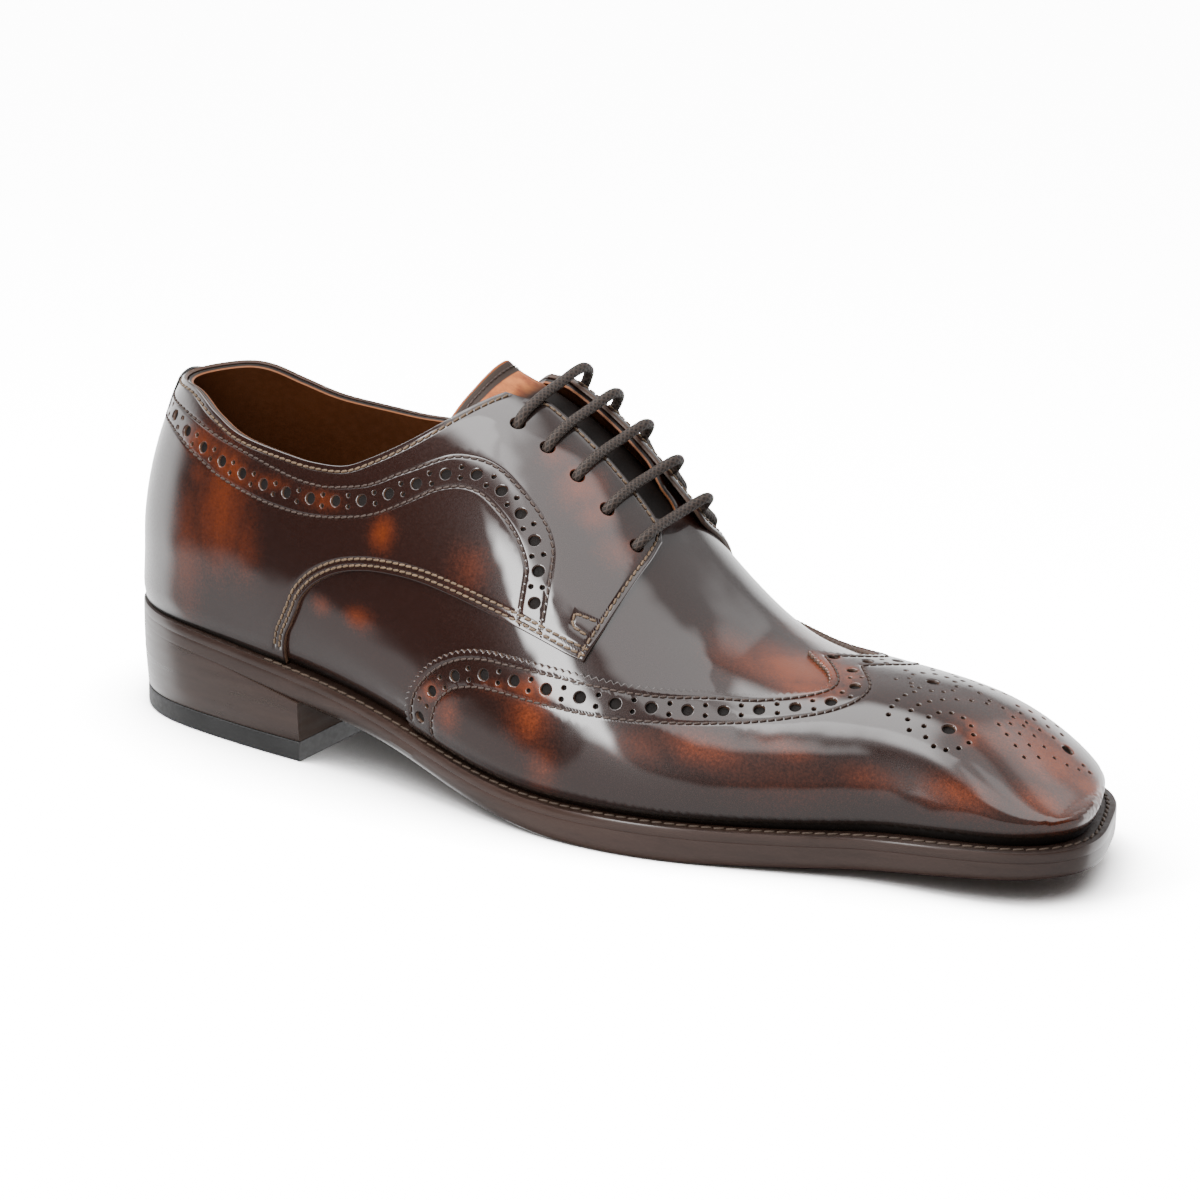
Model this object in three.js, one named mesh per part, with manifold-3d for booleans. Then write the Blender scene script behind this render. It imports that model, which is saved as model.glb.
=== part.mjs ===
// Right dress shoe: a wing-cap open-laced shoe with five pairs of eyelets, a welted
// leather sole and a stacked heel. Millimetres, +X to the toe, +Y to the inner (medial)
// side, +Z up. The shoe stands on heel and forefoot, and its origin is the middle of
// its footprint's box, on the floor.
import * as THREE from 'three';
import { mergeVertices } from 'three/addons/utils/BufferGeometryUtils.js';
import Module from 'manifold-3d';

const wasm = await Module();
wasm.setup();

// Driving sizes of the last
const LAST_LENGTH = 292;
const HEEL_WIDTH = 62;
const BALL_WIDTH = 86.5;
const TOE_WIDTH = 60;
const INSTEP_HEIGHT = 94;
const TOE_HEIGHT = 32;

// Driving sizes of the bottom
const HEEL_RISE = 22.5;
const TOE_SPRING = 5.5;
const EDGE_THICK = 10;
const WELT_THICK = 3;
const WELT_REACH = 6.5;
const WELT_UNDER = 7;
const WAIST_BEVEL = 5;
const EDGE_ROUND = 0.8;
const HEEL_LENGTH = 76;
const HEEL_TAPER = 1;
const LIFT_THICK = 5.7;
const INSOLE_THICK = 2.5;

// Driving sizes of the upper
const WALL = 2;
const OVERLAY_THICK = 1.2;
const STRAP_THICK = 1;
const STRAP_WIDTH = 11;
const STRAP_LENGTH = 31;
const TONGUE_THICK = 2.2;
const TONGUE_FLARE = 3.6;
const THROAT_GAP = 15;
const THROAT_OFFSET = 10;
const EYELET_PAIRS = 5;
const EYELET_DIAMETER = 4;
const EYELET_INSET = 14;
const LACE_DIAMETER = 3;
const LACE_ARCH = 3.6;
const GAP = 0.3;

// Fineness of the faceted forms
const STATIONS = 60;
const LEVELS = [-1, -0.4, 0, 0.1, 0.21, 0.33, 0.46, 0.59, 0.72, 0.86, 1];
const EDGE_STEPS = 24;
const HOLE_SIDES = 10;
const FAR = 400;

const table = (names, ...rows) => rows.map(
  (row) => Object.fromEntries(names.split(' ').map((name, i) => [name, row[i]])),
);

// Sections of the last from the back of the heel to the toe. at: share of the last's
// length. of: the width that lat, med and their swells are shares of. mid: the ridge's
// shift to the medial side, share of the ball width. turn: the plane's turn from square
// to the last. wide: height of the widest line, share of the instep height. round and
// crown: fullness of the curve sideways and upwards.
const SECTIONS = table(
  'at of mid turn lat med swellLat swellMed wide round crown',
  [0.103, HEEL_WIDTH, 0, 90, 0.452, 0.452, -0.019, -0.019, 0.21, 1.85, 1.75],
  [0.103, HEEL_WIDTH, 0, 60, 0.444, 0.46, -0.019, -0.013, 0.21, 1.65, 1.75],
  [0.103, HEEL_WIDTH, 0, 30, 0.46, 0.476, -0.008, -0.005, 0.21, 1.65, 1.75],
  [0.123, HEEL_WIDTH, 0, 0, 0.5, 0.492, 0.005, 0.008, 0.21, 1.75, 1.8],
  [0.205, HEEL_WIDTH, 0.023, 0, 0.589, 0.468, 0.024, 0.032, 0.2, 2.05, 1.9],
  [0.301, BALL_WIDTH, 0.069, 0, 0.491, 0.254, 0.04, 0.064, 0.178, 2.15, 1.9],
  [0.397, BALL_WIDTH, 0.127, 0, 0.578, 0.179, 0.058, 0.098, 0.135, 2.25, 1.95],
  [0.493, BALL_WIDTH, 0.15, 0, 0.659, 0.214, 0.058, 0.087, 0.093, 2.4, 2],
  [0.589, BALL_WIDTH, 0.139, 0, 0.671, 0.318, 0.046, 0.058, 0.061, 2.5, 2],
  [0.678, BALL_WIDTH, 0.116, 0, 0.607, 0.393, 0.035, 0.04, 0.039, 2.5, 2],
  [0.76, BALL_WIDTH, 0.092, 0, 0.486, 0.416, 0.023, 0.023, 0.039, 2.45, 2.05],
  [0.829, TOE_WIDTH, 0.092, 0, 0.575, 0.558, 0.017, 0.017, 0.039, 2.45, 2.1],
  [0.88, TOE_WIDTH, 0.104, 0, 0.508, 0.492, 0.012, 0.012, 0.045, 2.5, 2.2],
  [0.911, TOE_WIDTH, 0.116, -28, 0.55, 0.483, 0.013, 0.013, 0.05, 2.65, 2.3],
  [0.911, TOE_WIDTH, 0.116, -60, 0.725, 0.517, 0.02, 0.02, 0.061, 2.7, 2.4],
  [0.911, TOE_WIDTH, 0.116, -90, 0.517, 0.517, 0.025, 0.025, 0.061, 2.7, 2.45],
);

// The last's ridge over the welt: high is a share of the height in column of.
const RIDGE = table(
  'at of high',
  [-0.034, INSTEP_HEIGHT, 0.824],
  [0.137, INSTEP_HEIGHT, 0.882],
  [0.274, INSTEP_HEIGHT, 0.957],
  [0.356, INSTEP_HEIGHT, 1.006],
  [0.438, INSTEP_HEIGHT, 0.996],
  [0.521, INSTEP_HEIGHT, 0.882],
  [0.603, INSTEP_HEIGHT, 0.628],
  [0.685, INSTEP_HEIGHT, 0.383],
  [0.767, TOE_HEIGHT, 1.06],
  [0.842, TOE_HEIGHT, 1],
  [0.904, TOE_HEIGHT, 0.875],
  [0.959, TOE_HEIGHT, 0.62],
  [1.027, TOE_HEIGHT, 0.24],
);

// The bottom along the last. rise and spring: shares of the heel rise and toe spring
// in the welt's height. thick: share of the edge's thickness. reach: share of the
// welt's reach. bevel: share of the waist's bevel.
const BOTTOM = table(
  'at rise spring thick reach bevel',
  [-0.034, 1, 0, 0.65, 0.09, 0],
  [0.068, 0.956, 0, 0.65, 0.22, 0],
  [0.171, 0.867, 0, 0.65, 0.38, 0],
  [0.274, 0.733, 0, 0.95, 0.38, 0.1],
  [0.36, 0.511, 0, 0.9, 0.45, 1],
  [0.445, 0.2, 0, 1, 0.62, 1],
  [0.531, 0, 0, 0.98, 0.77, 0.4],
  [0.616, 0, 0, 1.05, 0.88, 0],
  [0.702, 0, 0, 1, 0.92, 0],
  [0.788, 0, 0.09, 0.93, 0.92, 0],
  [0.873, 0, 0.42, 0.91, 0.98, 0],
  [0.959, 0, 0.76, 0.82, 1, 0],
  [1.045, 0, 1, 0.75, 0.92, 0],
);

// Lines of the pattern in the side view. high: share of the height from the welt to
// the ridge.
const TOPLINE = table(
  'at high',
  [-0.06, 0.8], [0.045, 0.81], [0.09, 0.81], [0.129, 0.751], [0.169, 0.702],
  [0.234, 0.676], [0.269, 0.672], [0.302, 0.685], [0.33, 0.73], [0.356, 0.786],
  [0.379, 0.848], [0.411, 0.95], [0.43, 1], [0.45, 1.06],
);
const QUARTER_SEAM = table(
  'at high',
  [0.251, -0.1], [0.251, 0.056], [0.257, 0.132], [0.268, 0.22], [0.289, 0.312],
  [0.322, 0.397], [0.354, 0.442], [0.393, 0.471], [0.435, 0.5], [0.483, 0.532],
  [0.527, 0.566], [0.587, 0.635],
);
const FACING_FRONT = table(
  'at high',
  [0.587, 0.635], [0.595, 0.785], [0.601, 0.911], [0.601, 0.994], [0.593, 1.06],
);
const WING_SIDE = table(
  'at high',
  [0.405, -0.1], [0.405, 0.133], [0.419, 0.208], [0.442, 0.301], [0.471, 0.371],
  [0.504, 0.427], [0.544, 0.489], [0.583, 0.545], [0.617, 0.615], [0.658, 0.742],
  [0.697, 0.849],
);

// The wing's edge over the toe in plan, from the side to the peak in the middle.
// across: share of the half width.
const WING_PEAK = table(
  'at across',
  [0.697, 0.66], [0.733, 0.62], [0.766, 0.545], [0.783, 0.45], [0.786, 0.37],
  [0.769, 0.11],
);
const WING_TIP_SHARE = 0.734;

// The tongue in plan, from the vamp to its top. across: share of the half width.
const TONGUE = table(
  'at across',
  [0.64, 0.25], [0.6, 0.4], [0.5, 0.45], [0.42, 0.55], [0.372, 0.6],
);
const EYELET_SHARES = { first: 0.449, last: 0.58 };
const VAMP_THROAT_SHARE = 0.555;

// One bar of lace over both facings. share: from the near eyelet to the far one. radii
// and arches: height over the facings in the lace's radii and arches.
const LACE_BAR = table(
  'share radii arches',
  [0, 0, 0], [0.015, 1, 0], [0.12, 2, 0], [0.35, 1, 1],
  [0.65, 1, 1], [0.88, 2, 0], [0.985, 1, 0], [1, 0, 0],
);

// Shares of the smaller forms
const BEVEL_FOOT_SHARE = 0.4;
const EDGE_CORNER_SHARE = 0.6;
const HEEL_WAIST_INSET = 0.2;
const HEEL_WAIST_HEIGHT = 0.6;
const STRAP_SHOULDER_SHARE = 0.6;
const TONGUE_FLARE_LEVEL = 0.82;
const MERGE_DISTANCE = 1e-4;
const HALVINGS = 40;

const cubic = (a, b, c, d, f) => (
  (1 - f) ** 3 * a + (3 * f ** 3 - 6 * f * f + 4) * b
  + (-3 * f ** 3 + 3 * f * f + 3 * f + 1) * c + f ** 3 * d
) / 6;

// Smooth value along the last from a table's rows.
function profile(rows, value) {
  const last = rows.length - 1;
  const pick = (list, i) => {
    if (i < 0) return 2 * list[0] - list[1];
    if (i > last) return 2 * list[last] - list[last - 1];
    return list[i];
  };
  const blend = (list, t) => {
    const i = Math.min(Math.floor(t), last - 1);
    return cubic(pick(list, i - 1), pick(list, i), pick(list, i + 1), pick(list, i + 2), t - i);
  };
  const places = rows.map((row) => row.at * LAST_LENGTH);
  const values = rows.map(value);
  return (x) => {
    let low = 0;
    let top = last;
    for (let step = 0; step < HALVINGS; step += 1) {
      const middle = (low + top) / 2;
      if (blend(places, middle) < x) low = middle;
      else top = middle;
    }
    return blend(values, low);
  };
}

const weltTop = profile(BOTTOM, (row) => EDGE_THICK + row.rise * HEEL_RISE + row.spring * TOE_SPRING);
const edgeThick = profile(BOTTOM, (row) => row.thick * EDGE_THICK);
const weltReach = profile(BOTTOM, (row) => row.reach * WELT_REACH);
const waistBevel = profile(BOTTOM, (row) => row.bevel * WAIST_BEVEL);
const ridgeOverWelt = profile(RIDGE, (row) => row.high * row.of);
const ridge = (x) => weltTop(x) + ridgeOverWelt(x);
const soleUnder = (x) => Math.max(weltTop(x) - edgeThick(x), 0);
const sideHeight = (x, high) => weltTop(x) + high * ridgeOverWelt(x);

// The closed loop of sections: the lateral side to the toe, then the medial side back.
const loopRow = (row, side) => ({
  at: row.at * LAST_LENGTH,
  mid: row.mid * BALL_WIDTH,
  heading: side * (90 + row.turn),
  foot: (side < 0 ? row.lat : row.med) * row.of,
  swell: (side < 0 ? row.swellLat : row.swellMed) * row.of,
  wide: row.wide * INSTEP_HEIGHT,
  round: row.round,
  crown: row.crown,
});
const LOOP = [
  ...SECTIONS.map((row) => loopRow(row, -1)),
  ...SECTIONS.slice(1, -1).reverse().map((row) => loopRow(row, 1)),
];
const TOE_STATION = SECTIONS.length - 1;

function station(k) {
  const i = Math.floor(k);
  const near = [-1, 0, 1, 2].map((step) => {
    const turns = Math.floor((i + step) / LOOP.length);
    const row = LOOP[i + step - turns * LOOP.length];
    return { ...row, heading: row.heading + 360 * turns };
  });
  const names = Object.keys(near[0]);
  const values = names.map((name) => cubic(...near.map((row) => row[name]), k - i));
  const result = Object.fromEntries(names.map((name, n) => [name, values[n]]));
  result.heading *= Math.PI / 180;
  return result;
}

// A point of the last. level runs from -1 at the welt over 0 at the widest line to 1 at
// the ridge.
function formPoint(k, level) {
  const s = station(k);
  const lift = THREE.MathUtils.clamp(level, 0, 1) * Math.PI / 2;
  const tuck = THREE.MathUtils.clamp(1 + level, 0, 1);
  const widest = s.foot + s.swell;
  const reach = level >= 0
    ? widest * Math.max(Math.cos(lift), 0) ** (2 / s.round)
    : s.foot + s.swell * (1 - (1 - tuck) ** 2);
  const x = s.at + reach * Math.cos(s.heading);
  const y = s.mid + reach * Math.sin(s.heading);
  const seat = weltTop(s.at + s.foot * Math.cos(s.heading)) + GAP;
  const rise = ridge(x) - seat - s.wide;
  const z = level >= 0 ? seat + s.wide + rise * Math.sin(lift) ** (2 / s.crown) : seat + s.wide * tuck;
  return new THREE.Vector3(x, y, z);
}

function sideNormal(k, level) {
  const step = 0.004;
  const high = Math.min(level + step, 0.995);
  const along = formPoint(k + step, level).sub(formPoint(k - step, level));
  const up = formPoint(k, high).sub(formPoint(k, high - 2 * step));
  const normal = along.cross(up);
  if (level <= -1) normal.z = 0;
  return normal.normalize();
}

// The outward normal; on the ridge it is shared by both sides.
function formNormal(k, level) {
  const normal = sideNormal(k, level);
  if (level < 1) return normal;
  return normal.add(sideNormal(LOOP.length - k, level)).normalize();
}

const stationOf = (i) => (i * LOOP.length) / STATIONS;
const ringOf = (point) => Array.from({ length: STATIONS }, (_, i) => point(stationOf(i), i));

// Closed solids from triangles, and back
function solid(triangles) {
  const geometry = new THREE.BufferGeometry();
  const corners = triangles.flat().flatMap((point) => point.toArray());
  geometry.setAttribute('position', new THREE.Float32BufferAttribute(corners, 3));
  return solidOf(geometry);
}

function solidOf(geometry) {
  geometry.deleteAttribute('normal');
  geometry.deleteAttribute('uv');
  const merged = mergeVertices(geometry, MERGE_DISTANCE);
  const corners = merged.index.array;
  const kept = [];
  for (let i = 0; i < corners.length; i += 3) {
    const [a, b, c] = corners.slice(i, i + 3);
    if (a !== b && b !== c && c !== a) kept.push(a, b, c);
  }
  const vertProperties = Float32Array.from(merged.attributes.position.array);
  const triVerts = Uint32Array.from(kept);
  return new wasm.Manifold(new wasm.Mesh({ numProp: 3, vertProperties, triVerts }));
}

function geometryOf(body) {
  const mesh = body.getMesh();
  const geometry = new THREE.BufferGeometry();
  geometry.setAttribute('position', new THREE.BufferAttribute(mesh.vertProperties, 3));
  geometry.setIndex(new THREE.BufferAttribute(mesh.triVerts, 1));
  return geometry;
}

// Walls between rings of points listed from the bottom up, with both ends closed by
// rungs from the lateral side to the medial side.
function stack(rings, openTop = false) {
  const triangles = [];
  const count = rings[0].length;
  for (let j = 0; j + 1 < rings.length; j += 1) {
    for (let i = 0; i < count; i += 1) {
      const next = (i + 1) % count;
      const [a, b, c, d] = [rings[j][i], rings[j][next], rings[j + 1][next], rings[j + 1][i]];
      triangles.push([a, b, c], [a, c, d]);
    }
  }
  const close = (ring, flip) => {
    for (let i = 0; i < Math.floor(count / 2); i += 1) {
      const corners = [ring[i], ring[i + 1], ring[count - 1 - i], ring[(count - i) % count]];
      const faces = [[corners[0], corners[2], corners[1]], [corners[0], corners[3], corners[2]]];
      triangles.push(...faces.map((face) => (flip ? face.reverse() : face)));
    }
  };
  close(rings[0], false);
  if (!openTop) close(rings.at(-1), true);
  return solid(triangles);
}

// The last's whole form, moved out by offset, with its underside dropped by drop.
function formBody(offset, drop = 0) {
  const away = typeof offset === 'function' ? offset : () => offset;
  const rings = LEVELS.map((level) => ringOf((k) => {
    const point = formPoint(k, level);
    return point.addScaledVector(formNormal(k, level), away(point, level));
  }));
  if (drop > 0) rings.unshift(rings[0].map((point) => point.clone().setZ(point.z - drop)));
  return stack(rings, true);
}

const shell = (inner, outer) => formBody(outer).subtract(formBody(inner, 2 * GAP));

// A point on the ground plan, grow outside the foot's line.
function outline(k, grow, height) {
  const s = station(k);
  const foot = new THREE.Vector2(Math.cos(s.heading), Math.sin(s.heading)).multiplyScalar(s.foot);
  const line = foot.add(new THREE.Vector2(s.at, s.mid));
  const size = typeof grow === 'function' ? grow(line.x) : grow;
  const x = line.x + size * Math.cos(s.heading);
  const y = line.y + size * Math.sin(s.heading);
  return new THREE.Vector3(x, y, height(x));
}

// Prisms that cut a pattern out of a form
function prism(points, depth) {
  const shape = new THREE.Shape(points.map(([x, y]) => new THREE.Vector2(x, y)));
  return new THREE.ExtrudeGeometry(shape, { depth, bevelEnabled: false });
}

function sidePrism(points) {
  return solidOf(prism(points, 2 * FAR).rotateX(Math.PI / 2).translate(0, FAR, 0));
}

function planPrism(points) {
  return solidOf(prism(points, 2 * FAR).translate(0, 0, -FAR));
}

function smooth(points) {
  const curve = new THREE.SplineCurve(points.map(([x, y]) => new THREE.Vector2(x, y)));
  return curve.getPoints(EDGE_STEPS).map((point) => point.toArray());
}

const sideLine = (rows) => rows.map((row) => [
  row.at * LAST_LENGTH, sideHeight(row.at * LAST_LENGTH, row.high),
]);

// The lateral or medial section square to the last at x.
function sectionAt(x, side) {
  let low = 0;
  let top = TOE_STATION;
  for (let step = 0; step < HALVINGS; step += 1) {
    const middle = (low + top) / 2;
    if (station(middle).at < x) low = middle;
    else top = middle;
  }
  const k = side < 0 ? low : LOOP.length - low;
  return { k, ...station(k) };
}

const acrossAt = (x, side, across) => {
  const s = sectionAt(x, side);
  return [x, s.mid + side * across * (s.foot + s.swell)];
};

// Place and normal on the form over the plan's point x, y.
function formOver(x, y) {
  const side = y < sectionAt(x, 1).mid ? -1 : 1;
  const s = sectionAt(x, side);
  const share = Math.min(Math.abs(y - s.mid) / (s.foot + s.swell), 1);
  const level = Math.acos(share ** (s.round / 2)) / (Math.PI / 2);
  return { point: formPoint(s.k, level), normal: formNormal(s.k, level) };
}

// Bottom pieces
function makeOutsole() {
  const top = (x) => weltTop(x) - WELT_THICK - GAP;
  const foot = (x) => soleUnder(x) + EDGE_ROUND;
  const corner = (x) => THREE.MathUtils.lerp(foot(x), top(x), EDGE_CORNER_SHARE);
  const rings = [
    { grow: (x) => weltReach(x) - waistBevel(x) - EDGE_ROUND, height: soleUnder },
    { grow: (x) => weltReach(x) - BEVEL_FOOT_SHARE * waistBevel(x), height: foot },
    { grow: weltReach, height: corner },
    { grow: weltReach, height: top },
  ];
  return stack(rings.map(({ grow, height }) => ringOf((k) => outline(k, grow, height))));
}

function makeWelt() {
  const low = (x) => weltTop(x) - WELT_THICK;
  const plate = stack([low, weltTop].map((height) => ringOf((k) => outline(k, weltReach, height))));
  const hole = stack([-GAP, GAP].map((over) => ringOf(
    (k) => outline(k, -WELT_UNDER, (x) => (over < 0 ? low(x) : weltTop(x)) + over),
  )));
  return plate.subtract(hole);
}

function makeInsole() {
  const inset = -(WALL + 2 * GAP);
  const heights = [(x) => weltTop(x) + GAP, (x) => weltTop(x) + GAP + INSOLE_THICK];
  return stack(heights.map((height) => ringOf((k) => outline(k, inset, height))));
}

// A block of the heel: the back of the loop up to the breast.
function heelBlock(levels) {
  const breast = (side) => {
    let low = 0;
    let top = TOE_STATION;
    const at = (k) => outline(side < 0 ? k : LOOP.length - k, weltReach, () => 0).x;
    for (let step = 0; step < HALVINGS; step += 1) {
      const middle = (low + top) / 2;
      if (at(middle) < HEEL_LENGTH) low = middle;
      else top = middle;
    }
    return low;
  };
  const ends = [breast(-1), breast(1)];
  const half = Math.round(STATIONS / 6);
  const lateral = Array.from({ length: half }, (_, i) => (ends[0] * i) / (half - 1));
  const medial = lateral.slice(1).reverse().map((k) => (-k * ends[1]) / ends[0]);
  const places = [...lateral, ...medial];
  return stack(levels.map(({ inset, height }) => places.map((k) => {
    const place = (k + LOOP.length) % LOOP.length;
    const point = outline(place, (x) => weltReach(x) - inset, height);
    return point.setX(Math.min(point.x, HEEL_LENGTH));
  })));
}

function makeHeelStack() {
  const under = (x) => weltTop(x) - edgeThick(x) - GAP;
  const waist = (x) => THREE.MathUtils.lerp(LIFT_THICK, under(x), HEEL_WAIST_HEIGHT);
  return heelBlock([
    { inset: HEEL_TAPER, height: () => LIFT_THICK + GAP },
    { inset: HEEL_WAIST_INSET * HEEL_TAPER, height: waist },
    { inset: 0, height: under },
  ]);
}

function makeTopLift() {
  return heelBlock([
    { inset: HEEL_TAPER + EDGE_ROUND / 2, height: () => 0 },
    { inset: HEEL_TAPER, height: () => EDGE_ROUND },
    { inset: HEEL_TAPER, height: () => LIFT_THICK },
  ]);
}

// Cuts shared by the upper's pieces
function collarCut() {
  const line = smooth(sideLine(TOPLINE));
  return sidePrism([...line, [line.at(-1)[0], FAR], [-FAR, FAR], [-FAR, line[0][1]]]);
}

function throatCut(end) {
  const [low, high] = [THROAT_OFFSET - THROAT_GAP / 2, THROAT_OFFSET + THROAT_GAP / 2];
  const start = TOPLINE.at(-3).at * LAST_LENGTH;
  const tip = end * LAST_LENGTH;
  const corner = THROAT_GAP / 3;
  const cut = [
    [start, low], [tip - corner, low], [tip, low + corner],
    [tip, high - corner], [tip - corner, high], [start, high],
  ];
  return planPrism(cut).intersect(aboveInstep());
}

// The space over the tongue's bed, so that a cut from above leaves the sole alone.
const aboveInstep = () => sidePrism([
  [-FAR, INSTEP_HEIGHT / 2], [FAR, INSTEP_HEIGHT / 2], [FAR, FAR], [-FAR, FAR],
]);

// The place on a facing that lies inset from its throat edge, measured over the form.
function downFacing(x, side, inset) {
  const steps = 40;
  const edge = THROAT_OFFSET + (side * THROAT_GAP) / 2;
  let place = formOver(x, edge).point;
  let length = 0;
  let y = edge;
  while (length < inset) {
    y += (side * inset) / steps;
    const next = formOver(x, y).point;
    length += next.distanceTo(place);
    place = next;
  }
  return [x, y];
}

function eyeletPlaces() {
  const places = [];
  for (let n = 0; n < EYELET_PAIRS; n += 1) {
    const share = n / (EYELET_PAIRS - 1);
    const x = LAST_LENGTH * THREE.MathUtils.lerp(EYELET_SHARES.first, EYELET_SHARES.last, share);
    places.push(...[-1, 1].map((side) => downFacing(x, side, EYELET_INSET)));
  }
  return places;
}

function eyeletCut() {
  const drills = eyeletPlaces().map(([x, y]) => {
    const { point, normal } = formOver(x, y);
    const radius = EYELET_DIAMETER / 2;
    const drill = new THREE.CylinderGeometry(radius, radius, 6 * WALL, HOLE_SIDES);
    const axis = new THREE.Vector3(0, 1, 0);
    drill.applyQuaternion(new THREE.Quaternion().setFromUnitVectors(axis, normal));
    return solidOf(drill.translate(...point.toArray()));
  });
  return drills.reduce((all, drill) => all.add(drill));
}

const cuts = { collar: collarCut(), eyelets: eyeletCut() };

function makeUpper() {
  return formBody(0)
    .subtract(formBody(-WALL, 2 * WALL))
    .subtract(cuts.collar)
    .subtract(throatCut(VAMP_THROAT_SHARE))
    .subtract(cuts.eyelets);
}

const overlay = shell(GAP, GAP + OVERLAY_THICK);

function makeQuarter(side) {
  const seam = smooth(sideLine(QUARTER_SEAM));
  const front = smooth(sideLine(FACING_FRONT));
  const back = [[front.at(-1)[0], FAR], [-FAR, FAR], [-FAR, -FAR], [seam[0][0], -FAR]];
  const pattern = sidePrism([...seam, ...front.slice(1), ...back]);
  const edge = THROAT_OFFSET + (side * THROAT_GAP) / 2;
  const start = TOPLINE.at(-4).at * LAST_LENGTH;
  const backSeam = (side * GAP) / 2;
  const half = planPrism([
    [-FAR, side * FAR], [-FAR, backSeam], [start, backSeam],
    [start, edge], [FAR, edge], [FAR, side * FAR],
  ]);
  return overlay.intersect(pattern).intersect(half).subtract(cuts.collar).subtract(cuts.eyelets);
}

function makeWingCap() {
  const side = smooth(sideLine(WING_SIDE));
  const end = side.at(-1);
  const sides = sidePrism([...side, [end[0], -FAR], [side[0][0], -FAR]]);
  const tip = WING_TIP_SHARE * LAST_LENGTH;
  const edge = (hand) => smooth(
    WING_PEAK.map((row) => acrossAt(row.at * LAST_LENGTH, hand, row.across)),
  );
  const peak = [tip, sectionAt(tip, 1).mid];
  const [lateral, medial] = [edge(-1), edge(1).reverse()];
  const toe = planPrism([
    [end[0], -FAR], ...lateral, peak, ...medial, [end[0], FAR], [FAR, FAR], [FAR, -FAR],
  ]);
  return overlay.intersect(sides.add(toe));
}

function makeBackStrap() {
  const inner = 2 * GAP + OVERLAY_THICK;
  const half = STRAP_WIDTH / 2;
  const top = sideHeight(0, TOPLINE[1].high);
  const low = top - STRAP_LENGTH;
  const shoulder = STRAP_SHOULDER_SHARE * half;
  const pattern = [
    [half, FAR], [half, top], [shoulder, low + half], [0, low],
    [-shoulder, low + half], [-half, top], [-half, FAR],
  ];
  const front = prism(pattern, FAR).rotateX(Math.PI / 2).rotateZ(Math.PI / 2);
  const cutter = solidOf(front.translate(SECTIONS[0].at * LAST_LENGTH - FAR, 0, 0));
  return shell(inner, inner + STRAP_THICK).intersect(cutter).subtract(cuts.collar);
}

function makeTongue() {
  const top = TONGUE.at(-1).at * LAST_LENGTH;
  const flare = (point, level) => TONGUE_FLARE
    * THREE.MathUtils.smoothstep(level, TONGUE_FLARE_LEVEL, 1)
    * (1 - THREE.MathUtils.smoothstep(point.x, top, TOPLINE.at(-3).at * LAST_LENGTH));
  const under = -(WALL + GAP);
  const sheet = formBody((point, level) => under + flare(point, level))
    .subtract(formBody((point, level) => under - TONGUE_THICK + flare(point, level), 2 * WALL));
  const edge = (side) => TONGUE.map((row) => acrossAt(row.at * LAST_LENGTH, side, row.across));
  const plan = planPrism([...smooth(edge(-1)), ...smooth(edge(1)).reverse()]);
  return sheet.intersect(plan).intersect(aboveInstep());
}

// One straight bar of lace from eyelet to eyelet, over both facings.
function makeLaceBar(near, far) {
  const radius = LACE_DIAMETER / 2;
  const points = LACE_BAR.map((row) => {
    const x = THREE.MathUtils.lerp(near[0], far[0], row.share);
    const y = THREE.MathUtils.lerp(near[1], far[1], row.share);
    const { point, normal } = formOver(x, y);
    const height = row.radii * radius + row.arches * LACE_ARCH;
    return point.addScaledVector(normal, OVERLAY_THICK + 2 * GAP + height);
  });
  const extrudePath = new THREE.CatmullRomCurve3(points, false, 'centripetal');
  const round = new THREE.Shape().absarc(0, 0, radius, 0, 2 * Math.PI);
  return solidOf(new THREE.ExtrudeGeometry(round, { steps: 14, curveSegments: 4, extrudePath }));
}

const leather = (color, roughness) => new THREE.MeshStandardMaterial({ color, roughness, metalness: 0 });
const MATERIALS = {
  upper: leather('#3a1c12', 0.3),
  cap: leather('#4a2113', 0.28),
  quarter: leather('#35190f', 0.3),
  strap: leather('#15100e', 0.4),
  tongue: leather('#7a3517', 0.45),
  insole: leather('#8a5a33', 0.7),
  welt: leather('#2c1b13', 0.6),
  sole: leather('#2b1a14', 0.4),
  heel: leather('#33211a', 0.35),
  rubber: leather('#1f1e1e', 0.7),
  lace: leather('#30241f', 0.8),
};

const shoe = new THREE.Group();

function add(name, body, material) {
  const mesh = new THREE.Mesh(geometryOf(body), material);
  mesh.name = name;
  shoe.add(mesh);
}

add('outsole', makeOutsole(), MATERIALS.sole);
add('welt', makeWelt(), MATERIALS.welt);
add('heel_stack', makeHeelStack(), MATERIALS.heel);
add('top_lift', makeTopLift(), MATERIALS.rubber);
add('insole', makeInsole(), MATERIALS.insole);
add('upper', makeUpper(), MATERIALS.upper);
add('wing_cap', makeWingCap(), MATERIALS.cap);
add('quarter_lateral', makeQuarter(-1), MATERIALS.quarter);
add('quarter_medial', makeQuarter(1), MATERIALS.quarter);
add('back_strap', makeBackStrap(), MATERIALS.strap);
add('tongue', makeTongue(), MATERIALS.tongue);

const places = eyeletPlaces();
for (let n = 0; n < EYELET_PAIRS; n += 1) {
  add(`lace_bar_${n + 1}`, makeLaceBar(places[2 * n], places[2 * n + 1]), MATERIALS.lace);
}

// The origin goes to the middle of the footprint's box, on the floor.
const box = new THREE.Box3().setFromObject(shoe);
const middle = box.getCenter(new THREE.Vector3());
shoe.position.set(-middle.x, -middle.y, -box.min.z);

const group = new THREE.Group();
group.add(shoe);

export default group;
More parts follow.
